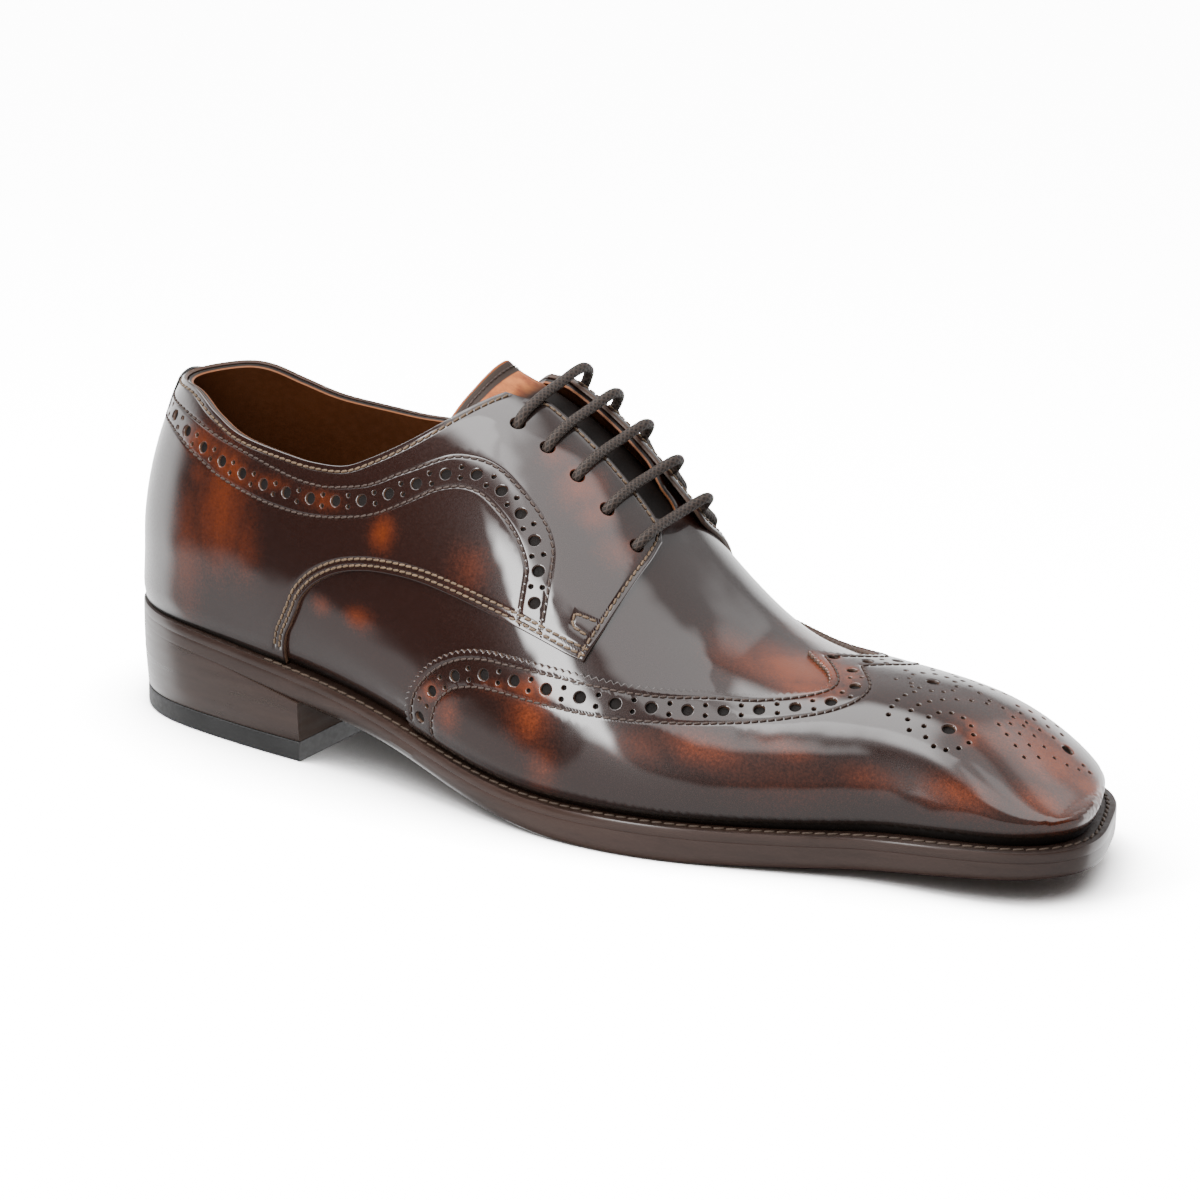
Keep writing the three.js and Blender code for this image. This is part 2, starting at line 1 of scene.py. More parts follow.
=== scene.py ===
"""Looks of a right wing-cap dress shoe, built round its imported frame.

Sizes of the form are in millimetres in the last's own frame: +X to the toe, +Y to the
medial side, +Z up. set_down() takes them to the row frame in metres.
"""

import math

import bpy
import numpy as np
from mathutils import Matrix, Vector
from mathutils.geometry import delaunay_2d_cdt
from mathutils.kdtree import KDTree


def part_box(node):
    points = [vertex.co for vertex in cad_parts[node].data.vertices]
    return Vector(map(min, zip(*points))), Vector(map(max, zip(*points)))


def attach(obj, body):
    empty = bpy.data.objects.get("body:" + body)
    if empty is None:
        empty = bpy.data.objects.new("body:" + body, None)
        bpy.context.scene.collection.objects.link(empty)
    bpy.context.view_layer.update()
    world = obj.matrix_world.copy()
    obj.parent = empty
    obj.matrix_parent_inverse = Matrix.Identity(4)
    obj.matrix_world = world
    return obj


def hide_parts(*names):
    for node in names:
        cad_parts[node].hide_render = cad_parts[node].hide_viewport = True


bl_info = {
    "name": "Wing-cap dress shoe",
    "version": (1, 0, 0),
    "blender": (4, 5, 0),
    "location": "3D View > Sidebar > Shoe",
    "description": "Leather, perforations, stitching, laces and sole of a right dress shoe",
    "category": "Add Mesh",
}

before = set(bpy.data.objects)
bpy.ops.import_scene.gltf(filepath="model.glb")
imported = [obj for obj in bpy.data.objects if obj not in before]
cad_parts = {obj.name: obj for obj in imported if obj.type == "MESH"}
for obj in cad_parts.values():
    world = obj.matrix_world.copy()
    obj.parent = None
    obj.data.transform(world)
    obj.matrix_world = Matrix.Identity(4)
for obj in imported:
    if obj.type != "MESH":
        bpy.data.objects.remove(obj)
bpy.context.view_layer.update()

# Driving sizes of the last and its bottom
LAST_LENGTH = 292.0
HEEL_WIDTH = 62.0
BALL_WIDTH = 86.5
TOE_WIDTH = 60.0
INSTEP_HEIGHT = 94.0
TOE_HEIGHT = 32.0
HEEL_RISE = 22.5
TOE_SPRING = 5.5
EDGE_THICK = 10.0
WELT_THICK = 3.0
WELT_REACH = 6.5
WAIST_BEVEL = 5.0
HEEL_LENGTH = 76.0
LIFT_THICK = 5.7
WALL = 2.0
GAP = 0.3
THROAT = (2.5, 17.5)
THROAT_END = 162.0
EYELET_X = (131.0, 140.6, 150.2, 159.8, 169.4)
EYELET_INSET = 14.0
EYELET_RADIUS = 2.0
PIT_FLOOR = 0.35
TUCK_IN, TUCK_HIGH = 1.3, 7.0
FACING_LIFT = 2.1

# Fine work: inner face of a sheet over the form, rows of the perforations and the grooves
SHEET_UNDER = 0.08
WING_PITCH = 9.4
PAIR_ASIDE = 1.55
GROOVE_WIDTH = 0.55
STITCH_SKEW = 0.12
WELT_SKEW = 0.18
STITCH_FILL = 0.86

# at, of, mid, turn, lateral, medial, lateral swell, medial swell, wide, round, crown
SECTIONS = (
    (0.103, HEEL_WIDTH, 0, 90, 0.452, 0.452, -0.019, -0.019, 0.21, 1.85, 1.75),
    (0.103, HEEL_WIDTH, 0, 60, 0.444, 0.46, -0.019, -0.013, 0.21, 1.65, 1.75),
    (0.103, HEEL_WIDTH, 0, 30, 0.46, 0.476, -0.008, -0.005, 0.21, 1.65, 1.75),
    (0.123, HEEL_WIDTH, 0, 0, 0.5, 0.492, 0.005, 0.008, 0.21, 1.75, 1.8),
    (0.205, HEEL_WIDTH, 0.023, 0, 0.589, 0.468, 0.024, 0.032, 0.2, 2.05, 1.9),
    (0.301, BALL_WIDTH, 0.069, 0, 0.491, 0.254, 0.04, 0.064, 0.178, 2.15, 1.9),
    (0.397, BALL_WIDTH, 0.127, 0, 0.578, 0.179, 0.058, 0.098, 0.135, 2.25, 1.95),
    (0.493, BALL_WIDTH, 0.15, 0, 0.659, 0.214, 0.058, 0.087, 0.093, 2.4, 2),
    (0.589, BALL_WIDTH, 0.139, 0, 0.671, 0.318, 0.046, 0.058, 0.061, 2.5, 2),
    (0.678, BALL_WIDTH, 0.116, 0, 0.607, 0.393, 0.035, 0.04, 0.039, 2.5, 2),
    (0.76, BALL_WIDTH, 0.092, 0, 0.486, 0.416, 0.023, 0.023, 0.039, 2.45, 2.05),
    (0.829, TOE_WIDTH, 0.092, 0, 0.575, 0.558, 0.017, 0.017, 0.039, 2.45, 2.1),
    (0.88, TOE_WIDTH, 0.104, 0, 0.508, 0.492, 0.012, 0.012, 0.045, 2.5, 2.2),
    (0.911, TOE_WIDTH, 0.116, -28, 0.55, 0.483, 0.013, 0.013, 0.05, 2.65, 2.3),
    (0.911, TOE_WIDTH, 0.116, -60, 0.725, 0.517, 0.02, 0.02, 0.061, 2.7, 2.4),
    (0.911, TOE_WIDTH, 0.116, -90, 0.517, 0.517, 0.025, 0.025, 0.061, 2.7, 2.45),
)

# at, share of the named height over the welt
RIDGE = [(at, high * INSTEP_HEIGHT) for at, high in (
    (-0.034, 0.824), (0.137, 0.882), (0.274, 0.957), (0.356, 1.006), (0.438, 0.996),
    (0.521, 0.882), (0.603, 0.628), (0.685, 0.383),
)] + [(at, high * TOE_HEIGHT) for at, high in (
    (0.767, 1.06), (0.842, 1), (0.904, 0.875), (0.959, 0.62), (1.027, 0.24),
)]

# at, rise, spring, thick, reach, bevel
BOTTOM = (
    (-0.034, 1, 0, 0.65, 0.09, 0), (0.068, 0.956, 0, 0.65, 0.22, 0),
    (0.171, 0.867, 0, 0.65, 0.38, 0), (0.274, 0.733, 0, 0.95, 0.38, 0.1),
    (0.36, 0.511, 0, 0.9, 0.45, 1), (0.445, 0.2, 0, 1, 0.62, 1),
    (0.531, 0, 0, 0.98, 0.77, 0.4), (0.616, 0, 0, 1.05, 0.88, 0),
    (0.702, 0, 0, 1, 0.92, 0), (0.788, 0, 0.09, 0.93, 0.92, 0),
    (0.873, 0, 0.42, 0.91, 0.98, 0), (0.959, 0, 0.76, 0.82, 1, 0),
    (1.045, 0, 1, 0.75, 0.92, 0),
)
TOPLINE = (
    (-0.06, 0.8), (0.045, 0.81), (0.09, 0.81), (0.129, 0.751), (0.169, 0.702),
    (0.234, 0.676), (0.269, 0.672), (0.302, 0.685), (0.33, 0.73), (0.356, 0.786),
    (0.379, 0.848), (0.411, 0.95), (0.43, 1), (0.45, 1.06),
)

# Lines of the lateral pattern as station of the form's loop and level on it. The
# medial side mirrors them.
SEAM = (
    (4.37, -1), (4.4, -0.7), (4.44, -0.45), (4.5, -0.27), (4.545, -0.12), (4.6, 0.015),
    (4.67, 0.061), (4.85, 0.118), (5.12, 0.17),
    (5.45, 0.21), (5.77, 0.238), (6.12, 0.264), (6.53, 0.288), (6.95, 0.311),
    (7.35, 0.336), (7.74, 0.361), (7.99, 0.383),
)
FRONT = ((7.99, 0.383), (8.06, 0.5), (8.09, 0.62), (8.09, 0.72), (8.07, 0.82), (8.02, 0.895))
TACK = ((7.98, 0.512), (7.78, 0.482), (7.78, 0.445), (7.94, 0.455))
BAND_TOP = (
    (0, 0.49), (0.8, 0.492), (1.6, 0.488), (2.35, 0.472), (3.04, 0.428), (3.47, 0.401),
    (3.82, 0.382), (4.13, 0.366), (4.42, 0.356), (4.65, 0.356), (4.88, 0.364),
    (5.23, 0.395), (5.43, 0.424), (5.62, 0.463), (5.83, 0.507), (6.13, 0.579),
    (6.37, 0.615), (6.53, 0.63), (6.69, 0.635), (6.84, 0.632), (6.99, 0.627),
    (7.13, 0.619), (7.27, 0.603), (7.38, 0.57), (7.44, 0.52), (7.48, 0.46),
    (7.51, 0.4), (7.52, 0.355),
)
BAND_LOW = (
    (0, 0.415), (0.8, 0.42), (1.5, 0.418), (2.17, 0.402), (2.67, 0.362), (3.0, 0.333),
    (3.3, 0.305), (3.64, 0.284), (3.93, 0.272), (4.19, 0.267), (4.49, 0.269),
    (4.72, 0.277), (4.94, 0.291), (5.11, 0.306), (5.33, 0.329), (5.53, 0.358),
    (5.73, 0.398), (5.92, 0.441), (6.06, 0.476), (6.2, 0.505), (6.32, 0.526),
    (6.44, 0.54), (6.56, 0.547), (6.72, 0.544), (6.89, 0.535), (7.02, 0.522),
    (7.14, 0.5), (7.22, 0.472), (7.25, 0.43), (7.27, 0.385), (7.29, 0.34),
)
BAND_HOLES = (
    (0, 0.452), (0.8, 0.456), (1.5, 0.455), (2.13, 0.44), (2.52, 0.413), (2.85, 0.383),
    (3.16, 0.36), (3.45, 0.339), (3.77, 0.323), (4.07, 0.313), (4.39, 0.312),
    (4.73, 0.321), (5.05, 0.342), (5.37, 0.375), (5.65, 0.423), (5.92, 0.481),
    (6.15, 0.534), (6.44, 0.581), (6.74, 0.59), (7.0, 0.577), (7.21, 0.546),
    (7.33, 0.494), (7.39, 0.417),
)
WING_TOP = (
    (6.13, -1), (6.13, -0.5), (6.15, -0.1), (6.2, 0.028), (6.31, 0.072), (6.43, 0.108),
    (6.58, 0.143), (6.74, 0.173), (6.9, 0.196), (7.07, 0.216), (7.23, 0.231),
    (7.52, 0.261), (7.83, 0.297), (8.15, 0.34), (8.46, 0.39), (8.8, 0.461),
    (9.23, 0.56), (9.69, 0.62), (10.13, 0.688), (10.38, 0.758), (10.42, 0.83),
    (10.3, 0.9), (10.12, 0.956), (9.88, 1),
)
WING_LOW = (
    (6.4, -1), (6.4, -0.5), (6.42, -0.02), (6.48, 0.042), (6.64, 0.091), (6.79, 0.117),
    (6.94, 0.137), (7.23, 0.164), (7.49, 0.184), (7.8, 0.211), (8.14, 0.246),
    (8.53, 0.303), (8.9, 0.37), (9.36, 0.446), (9.72, 0.492), (10.09, 0.54),
    (10.48, 0.601), (10.72, 0.664), (10.86, 0.734), (10.89, 0.817), (10.81, 0.885),
    (10.64, 0.945), (10.42, 1),
)
WING_HOLES = (
    (6.26, -0.5), (6.27, -0.06), (6.4, 0.054), (6.69, 0.129), (7.04, 0.178),
    (7.36, 0.211), (7.68, 0.241), (8.01, 0.278), (8.34, 0.325), (8.67, 0.385),
    (9.02, 0.454), (9.34, 0.511), (9.71, 0.563), (10.13, 0.618), (10.53, 0.69),
    (10.68, 0.79), (10.6, 0.885), (10.4, 0.955),
)

WING_PEAK = 9.67
WING_TIP_HOLE = (221.0, 9.0)

# Perforations of the toe's medallion in plan: the axis, then places along and beside it
MEDALLION_AXIS = ((250.6, 10.4), (296.0, 16.6))
MEDALLION_RADIUS = 1.8
MEDALLION_SQUEEZE = 0.82
MEDALLION_LARGE = ((0, 0), (11.6, -19.8), (37.0, 3.2))
MEDALLION_RINGS = ((0, 0, 6.4, 12), (11.6, -19.8, 6.4, 12))
MEDALLION_LINES = (
    ((-9, -4.2), (-6.2, -4.9), (-3.6, -6.6), (-2, -9.2), (-3.6, -12), (-4.6, -15),
     (-5, -18), (-4.8, -20.8)),
    ((2.2, -23.6), (0.6, -20.8), (0.2, -17.6), (1.2, -14.6), (3.2, -11.8), (5.8, -9),
     (8.8, -6.2), (12, -3.6), (15.6, -1.2), (19.4, 1)),
    ((21.4, -8.4), (24.4, -10.6), (27.6, -12.8), (30.8, -15)),
    ((23.4, -4.6), (26.6, -6.4), (30, -8.4), (33.4, -10.6)),
    ((22.8, -0.6), (26, -1.4), (29.4, -2.6), (32.8, -4.2), (36.2, -5.6), (39.4, -4.2),
     (42, -2), (44.2, 0.6)),
)

# Tongue in plan: place along the last, share of the half width
TONGUE = ((0.64, 0.25), (0.6, 0.4), (0.5, 0.45), (0.42, 0.55), (0.372, 0.6))
TONGUE_TOP = 108.6
TONGUE_FLARE = 3.6
STRAP_HALF = 5.5
STRAP_LENGTH = 31.0

# Burnished patches in the last's frame: place, reach along, reach down, strength
PATCHES = (
    (47, -33, 68, 9, 17, 0.85), (33, -31, 52, 8, 20, 0.6), (36, -29, 76, 5, 4, 0.55),
    (57, -36, 60, 6, 14, 0.5), (105, -38, 73, 4, 5, 0.9), (135, -40, 69, 7, 7, 0.5),
    (85, -41, 49, 4, 3, 0.8), (98, -42, 48, 5, 3, 0.85), (150, -44, 60, 8, 5, 0.3),
    (160, -49, 34, 7, 9, 0.85), (165, -51, 21, 5, 7, 0.7), (133, -48, 29, 5, 6, 0.7),
    (211, -37, 30, 22, 5, 0.8), (230, -29, 32, 12, 4, 0.85), (192, -44, 30, 11, 5, 0.55),
    (253, -24, 27, 14, 4, 0.7), (275, -20, 26, 14, 5, 0.85), (294, -10, 24, 11, 7, 1),
    (217, -2, 47, 13, 10, 1.5), (223, -10, 45, 9, 6, 1.3), (206, -8, 50, 13, 9, 0.8),
    (153, -13, 88, 6, 8, 0.85), (158, -15, 80, 5, 5, 0.9), (145, -12, 95, 5, 5, 0.6),
    (166, -17, 72, 6, 6, 0.6), (288, 7, 30, 16, 14, 1.1), (298, 10, 24, 8, 9, 1.1),
    (277, -2, 36, 13, 9, 0.75), (270, 24, 34, 14, 8, 0.5), (60, -32, 79, 12, 3, 0.45),
    (34, -26, 85, 7, 5, 0.7), (82, -35, 78, 10, 4, 0.5), (127, -47, 34, 6, 4, 0.5),
    (150, -48, 39, 9, 3, 0.45), (212, 26, 46, 14, 10, 0.7), (48, 32, 66, 9, 17, 0.8),
    (100, 28, 72, 6, 6, 0.8), (96, 38, 48, 9, 4, 0.7), (152, 38, 74, 7, 9, 0.7),
    (158, 46, 30, 8, 10, 0.9), (215, 48, 26, 16, 5, 0.7), (268, 38, 26, 14, 6, 0.7),
    (10, 6, 62, 8, 16, 0.6), (280, 4, 34, 36, 34, 0.3), (297, 3, 27, 20, 24, 0.7),
    (232, -32, 26, 70, 9, 0.4),
)


def weights(f):
    """Uniform cubic spline weights at the share f of a span."""
    return np.stack([(1 - f) ** 3, 3 * f**3 - 6 * f * f + 4,
                     -3 * f**3 + 3 * f * f + 3 * f + 1, f**3]) / 6


class Profile:
    """Smooth value along the last, from rows of place and value."""

    def __init__(self, rows):
        rows = np.array(rows, float)
        rows = np.vstack([2 * rows[0] - rows[1], rows, 2 * rows[-1] - rows[-2]])
        t = np.linspace(0, len(rows) - 3, 9000)
        i = np.minimum(t.astype(int), len(rows) - 4)
        share = weights(t - i)
        made = sum(share[s][:, None] * rows[i + s] for s in range(4))
        self.at, self.value = made[:, 0] * LAST_LENGTH, made[:, 1]

    def __call__(self, x):
        return np.interp(x, self.at, self.value)


welt_top = Profile([(r[0], EDGE_THICK + r[1] * HEEL_RISE + r[2] * TOE_SPRING) for r in BOTTOM])
edge_thick = Profile([(r[0], r[3] * EDGE_THICK) for r in BOTTOM])
welt_reach = Profile([(r[0], r[4] * WELT_REACH) for r in BOTTOM])
waist_bevel = Profile([(r[0], r[5] * WAIST_BEVEL) for r in BOTTOM])
ridge_over = Profile(RIDGE)


def sole_under(x):
    """Height of the sole's lower face."""
    return np.maximum(welt_top(x) - edge_thick(x), 0)


def loop_row(row, side):
    """A section's row in mm: place, middle, heading, foot, swell, wide, fullness, crown."""
    at, of, mid, turn, lat, med, swell_lat, swell_med, wide, full, crown = row
    foot, swell = (lat, swell_lat) if side < 0 else (med, swell_med)
    return (at * LAST_LENGTH, mid * BALL_WIDTH, side * (90 + turn), foot * of, swell * of,
            wide * INSTEP_HEIGHT, full, crown)


LOOP = np.array([loop_row(r, -1) for r in SECTIONS]
                + [loop_row(r, 1) for r in SECTIONS[-2:0:-1]])
TURN = len(LOOP)
TOE = len(SECTIONS) - 1


def station(k):
    """Rows of the loop's spline at stations k."""
    first = np.floor(k).astype(int)
    share = weights(k - first)
    total = 0
    for step in range(4):
        index = first + step - 1
        row = LOOP[index % TURN].copy()
        row[..., 2] += 360 * np.floor_divide(index, TURN)
        total = total + share[step][..., None] * row
    return total


def form(k, level):
    """Points of the last: level -1 at the welt, 0 at the widest line, 1 at the ridge."""
    k, level = np.broadcast_arrays(np.asarray(k, float), np.asarray(level, float))
    at, mid, heading, foot, swell, wide, full, crown = np.moveaxis(station(k), -1, 0)
    heading = np.radians(heading)
    lift = np.clip(level, 0, 1) * np.pi / 2
    tuck = np.clip(1 + level, 0, 1)
    high = (foot + swell) * np.maximum(np.cos(lift), 0) ** (2 / full)
    reach = np.where(level >= 0, high, foot + swell * (1 - (1 - tuck) ** 2))
    seat = welt_top(at + foot * np.cos(heading)) + GAP
    x = at + reach * np.cos(heading)
    rise = welt_top(x) + ridge_over(x) - seat - wide
    over = np.where(level >= 0, wide + rise * np.sin(lift) ** (2 / crown), wide * tuck)
    reach = reach - TUCK_IN * np.clip(1 - over / TUCK_HIGH, 0, 1) ** 2
    return np.stack([at + reach * np.cos(heading), mid + reach * np.sin(heading), seat + over], -1)


# The flat pattern: each section is laid out from the ridge along its own heading.
K_GRID = np.linspace(0, TURN, 20 * TURN + 1)
Q_GRID = np.linspace(0, 1, 181)
HALF = len(K_GRID) // 2 + 1
SPINE = station(K_GRID)
HEADING = np.radians(SPINE[:, 2])
ARC = np.zeros((len(K_GRID), len(Q_GRID)))
ARC[:, 1:] = np.cumsum(np.linalg.norm(
    np.diff(form(K_GRID[:, None], (1 - 2 * Q_GRID**2)[None, :]), axis=1), axis=2), axis=1)


def spine_at(k):
    """The spine's place in plan and its heading at stations k."""
    return [np.interp(k, K_GRID, values) for values in (SPINE[:, 0], SPINE[:, 1], HEADING)]


def spine_over(x):
    """The spine's y at a place along the last."""
    return np.interp(x, SPINE[:HALF, 0], SPINE[:HALF, 1])


def arc_at(k, q):
    """Length on the form from the ridge (q = 0) towards the welt (q = 1) at stations k."""
    row = k * (len(K_GRID) - 1) / TURN
    i = np.clip(row.astype(int), 0, len(K_GRID) - 2)
    col = q * (len(Q_GRID) - 1)
    j = np.clip(col.astype(int), 0, len(Q_GRID) - 2)
    f, g = row - i, col - j
    return ((1 - f) * ((1 - g) * ARC[i, j] + g * ARC[i, j + 1])
            + f * ((1 - g) * ARC[i + 1, j] + g * ARC[i + 1, j + 1]))


def flat(k, level):
    """Flat pattern places of stations and levels."""
    k, level = np.broadcast_arrays(np.asarray(k, float), np.asarray(level, float))
    arc = arc_at(k, np.sqrt((1 - level) / 2))
    x, y, heading = spine_at(k)
    return np.stack([x + arc * np.cos(heading), y + arc * np.sin(heading)], -1)


def search(low, top, below, steps=30):
    """Where a test that holds from low on stops holding, for arrays of bounds."""
    for _ in range(steps):
        middle = (low + top) / 2
        held = below(middle)
        low, top = np.where(held, middle, low), np.where(held, top, middle)
    return (low + top) / 2


def unfold(p):
    """Station and level of points on the flat pattern."""
    x, y = p[:, 0], p[:, 1]
    lateral = y < spine_over(x)
    sided = lambda k: np.where(lateral, k, TURN - k)

    def behind(middle):
        mid_x, mid_y, heading = spine_at(sided(middle))
        turn = np.cos(heading) * (y - mid_y) - np.sin(heading) * (x - mid_x)
        return np.where(lateral, turn, -turn) > 0

    k = sided(search(np.zeros(len(p)), np.full(len(p), float(TOE)), behind, 29))
    mid_x, mid_y, _ = spine_at(k)
    away = np.hypot(x - mid_x, y - mid_y)
    q = search(np.zeros(len(p)), np.ones(len(p)), lambda middle: arc_at(k, middle) < away)
    return k, 1 - 2 * q**2


def on_side(k, level, side):
    """Flat places on the lateral side (-1), or mirrored to the medial side (1)."""
    return flat(k if side < 0 else TURN - k, level)


def mirrored(line):
    """A line of the flat pattern on the last's other side."""
    k, level = unfold(line)
    return flat(TURN - k, level)


def skin(p):
    """Points of the form at places of the flat pattern."""
    return form(*unfold(p))


def lay(p, step=0.25):
    """Place, normal and both slopes of the form at points of the flat pattern."""
    p = np.asarray(p, float).reshape(-1, 2)
    along, across = np.array([step, 0]), np.array([0, step])
    made = skin(np.vstack([p, p + along, p - along, p + across, p - across])).reshape(5, -1, 3)
    dx, dy = (made[1] - made[2]) / (2 * step), (made[3] - made[4]) / (2 * step)
    return made[0], unit(np.cross(dx, dy)), dx, dy


def to_flat(vector, dx, dy):
    """Steps on the flat pattern that give these steps on the form."""
    a, b, c = (dx * dx).sum(1), (dx * dy).sum(1), (dy * dy).sum(1)
    u, v = (vector * dx).sum(1), (vector * dy).sum(1)
    det = np.maximum(a * c - b * b, 1e-6)
    return np.stack([(c * u - b * v) / det, (a * v - b * u) / det], -1)


def tangents(points, closed=False):
    """Steps along a line, from each point's neighbour to its other one."""
    if closed:
        return np.roll(points, -1, 0) - np.roll(points, 1, 0)
    ends = np.vstack([2 * points[0] - points[1], points, 2 * points[-1] - points[-2]])
    return ends[2:] - ends[:-2]


def unit(v):
    """Vectors at length 1."""
    return v / np.maximum(np.linalg.norm(v, axis=-1, keepdims=True), 1e-12)


def on_form(way, dx, dy):
    """Directions on the form of steps on the flat pattern."""
    return unit(way[:, :1] * dx + way[:, 1:] * dy)


def shift(line, distance, closed=False):
    """The line moved to its left by a distance on the form."""
    _, normal, dx, dy = lay(line)
    side = np.cross(normal, on_form(tangents(line, closed), dx, dy))
    return line + to_flat(side * np.reshape(distance, (-1, 1)), dx, dy)


def smooth(points, steps=12):
    """Smooth line through points."""
    p = np.asarray(points, float)
    p = np.vstack([2 * p[0] - p[1], p, 2 * p[-1] - p[-2]])
    t = np.linspace(0, 1, steps, endpoint=False)[:, None]
    parts = []
    for a, b, c, d in zip(p, p[1:], p[2:], p[3:]):
        parts.append(0.5 * (2 * b + (c - a) * t + (2 * a - 5 * b + 4 * c - d) * t * t
                            + (3 * b - a - 3 * c + d) * t**3))
    return np.vstack(parts + [p[-2:-1]])


def line_of(rows, side=-1):
    """A pattern line on the lateral side (-1) or mirrored to the medial side (1)."""
    k, level = np.array(rows, float).T
    return smooth(on_side(k, level, side))


def run_along(points):
    """Length of a line of points up to each of them."""
    return np.concatenate([[0], np.cumsum(np.linalg.norm(np.diff(points, axis=0), axis=1))])


def picked(line, run, at):
    """Points of a line at lengths along it."""
    return np.stack([np.interp(at, run, column) for column in line.T], -1)


def spaced(line, pitch):
    """Places at an even pitch along a line, measured on the form."""
    run = run_along(skin(line))
    count = max(int(round(run[-1] / pitch)), 1)
    return picked(line, run, np.linspace(0, run[-1], count + 1))


def plan(x, y):
    """Flat pattern places over places in plan."""
    x, y = np.asarray(x, float), np.asarray(y, float)
    mid = spine_over(x)
    p = np.stack([x, y], -1)
    for _ in range(12):
        place = skin(p)
        p = p + np.stack([x - place[:, 0], y - place[:, 1]], -1) * 0.8
        p[:, 1] = np.where(y < mid, np.minimum(p[:, 1], mid), p[:, 1])
    return p


def inside(polygon, points):
    """Which points lie inside a closed line, by counting crossings."""
    x, y = points[:, 0], points[:, 1]
    found = np.zeros(len(points), bool)
    for (x0, y0), (x1, y1) in zip(polygon, np.roll(polygon, -1, 0)):
        if y0 != y1:
            crosses = (y0 > y) != (y1 > y)
            found ^= crosses & (x < (x1 - x0) * (y - y0) / (y1 - y0) + x0)
    return found


def low_corner():
    """Lowest corner of the outsole's outline in the last's frame."""
    k = np.linspace(0, TURN, 721)
    row = station(k)
    heading = np.radians(row[:, 2])
    foot = row[:, 0] + row[:, 3] * np.cos(heading)
    grow = row[:, 3] + welt_reach(foot)
    return np.array([(row[:, 0] + grow * np.cos(heading)).min(),
                     (row[:, 1] + grow * np.sin(heading)).min(), 0])


SHIFT = np.array(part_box("outsole")[0]) * 1000 * (1, 1, 0) - low_corner()


def set_down(points):
    """From the last's frame in millimetres to the row frame in metres."""
    return (np.asarray(points, float) + SHIFT) / 1000


def topline(side):
    """The collar's line from the back of the heel to the front corner of the facing."""
    rows = smooth(TOPLINE, 20)
    x, high = rows[:, 0] * LAST_LENGTH, rows[:, 1]
    z = welt_top(x) + high * ridge_over(x)
    order = np.argsort(x)
    k = np.linspace(0, 6.3, 120)

    def under(level):
        place = form(k, level)
        return place[:, 2] < np.interp(place[:, 0], x[order], z[order])

    return on_side(k, search(np.full(len(k), 0.2), np.full(len(k), 0.999), under), side)


# Meshes
def new_object(name, vertices, faces, finishes, slots=None, corners=None, marks=None, uv=None):
    """An object at the origin from points in the last's frame."""
    mesh = bpy.data.meshes.new(name)
    mesh.from_pydata(set_down(vertices).tolist(), [], [list(map(int, f)) for f in faces])
    for material in finishes:
        mesh.materials.append(material)
    if slots is not None:
        mesh.polygons.foreach_set("material_index", np.asarray(slots, np.int32))
    mesh.polygons.foreach_set("use_smooth", np.ones(len(mesh.polygons), bool))
    for key, values in (marks or {}).items():
        mark = mesh.attributes.new(key, "FLOAT", "POINT")
        mark.data.foreach_set("value", np.asarray(values, np.float32))
    if uv is not None:
        index = np.empty(len(mesh.loops), np.int32)
        mesh.loops.foreach_get("vertex_index", index)
        layer = mesh.uv_layers.new(name="UVMap")
        layer.data.foreach_set("uv", np.asarray(uv, np.float32)[index].ravel())
    mesh.update()
    if corners is not None:
        mesh.normals_split_custom_set(np.asarray(corners, float).tolist())
    made = bpy.data.objects.new(name, mesh)
    bpy.context.scene.collection.objects.link(made)
    return made


def burnish(points):
    """Strength of the burnished patches at points of the last's frame."""
    total = np.zeros(len(points))
    for x, y, z, long, deep, strength in PATCHES:
        d = (((points[:, 0] - x) / long) ** 2 + ((points[:, 1] - y) / deep) ** 2
             + ((points[:, 2] - z) / deep) ** 2)
        total = np.maximum(total, strength * np.exp(-d * 0.75))
    return total


def circle(centre, radius, count):
    """A round hole's line, its material on the left."""
    turn = -2 * np.pi * np.arange(count) / count
    _, normal, dx, dy = lay(centre)
    u = unit(dx)
    v = np.cross(normal, u)
    ring = radius * (np.cos(turn)[:, None] * u + np.sin(turn)[:, None] * v)
    return centre + to_flat(ring, np.repeat(dx, count, 0), np.repeat(dy, count, 0))


def nearest(points, targets):
    """Distance of points to the nearest target on the flat pattern."""
    tree = KDTree(len(targets))
    for i, (x, y) in enumerate(targets):
        tree.insert((x, y, 0), i)
    tree.balance()
    return np.array([tree.find((x, y, 0))[2] for x, y in points])


def spots(points, drop=0.0, tilt=(0, 0, 0), halo=0.0):
    """Rows of a sheet's flat mesh: place, depth under its face, tilt of the face, halo."""
    n = len(points)
    return np.column_stack([points, np.full(n, drop), np.broadcast_to(tilt, (n, 3)),
                            np.full(n, halo)])


def grooved(line, groove, free):
    """Spots over a stitch row, sunk into a soft groove, where the sheet is free."""
    line = spaced(line, 0.9)
    way = unit(tangents(line))
    parts = []
    for away in (-1.0, -0.5, 0.0, 0.5, 1.0):
        moved = shift(line, away)
        keep = free(moved)
        _, normal, dx, dy = lay(moved)
        side = np.cross(normal, on_form(way, dx, dy))
        depth = groove * math.exp(-(away / GROOVE_WIDTH) ** 2)
        slope = 2 * away / GROOVE_WIDTH**2 * depth
        parts.append(spots(moved[keep], depth, -side[keep] * slope))
    return parts


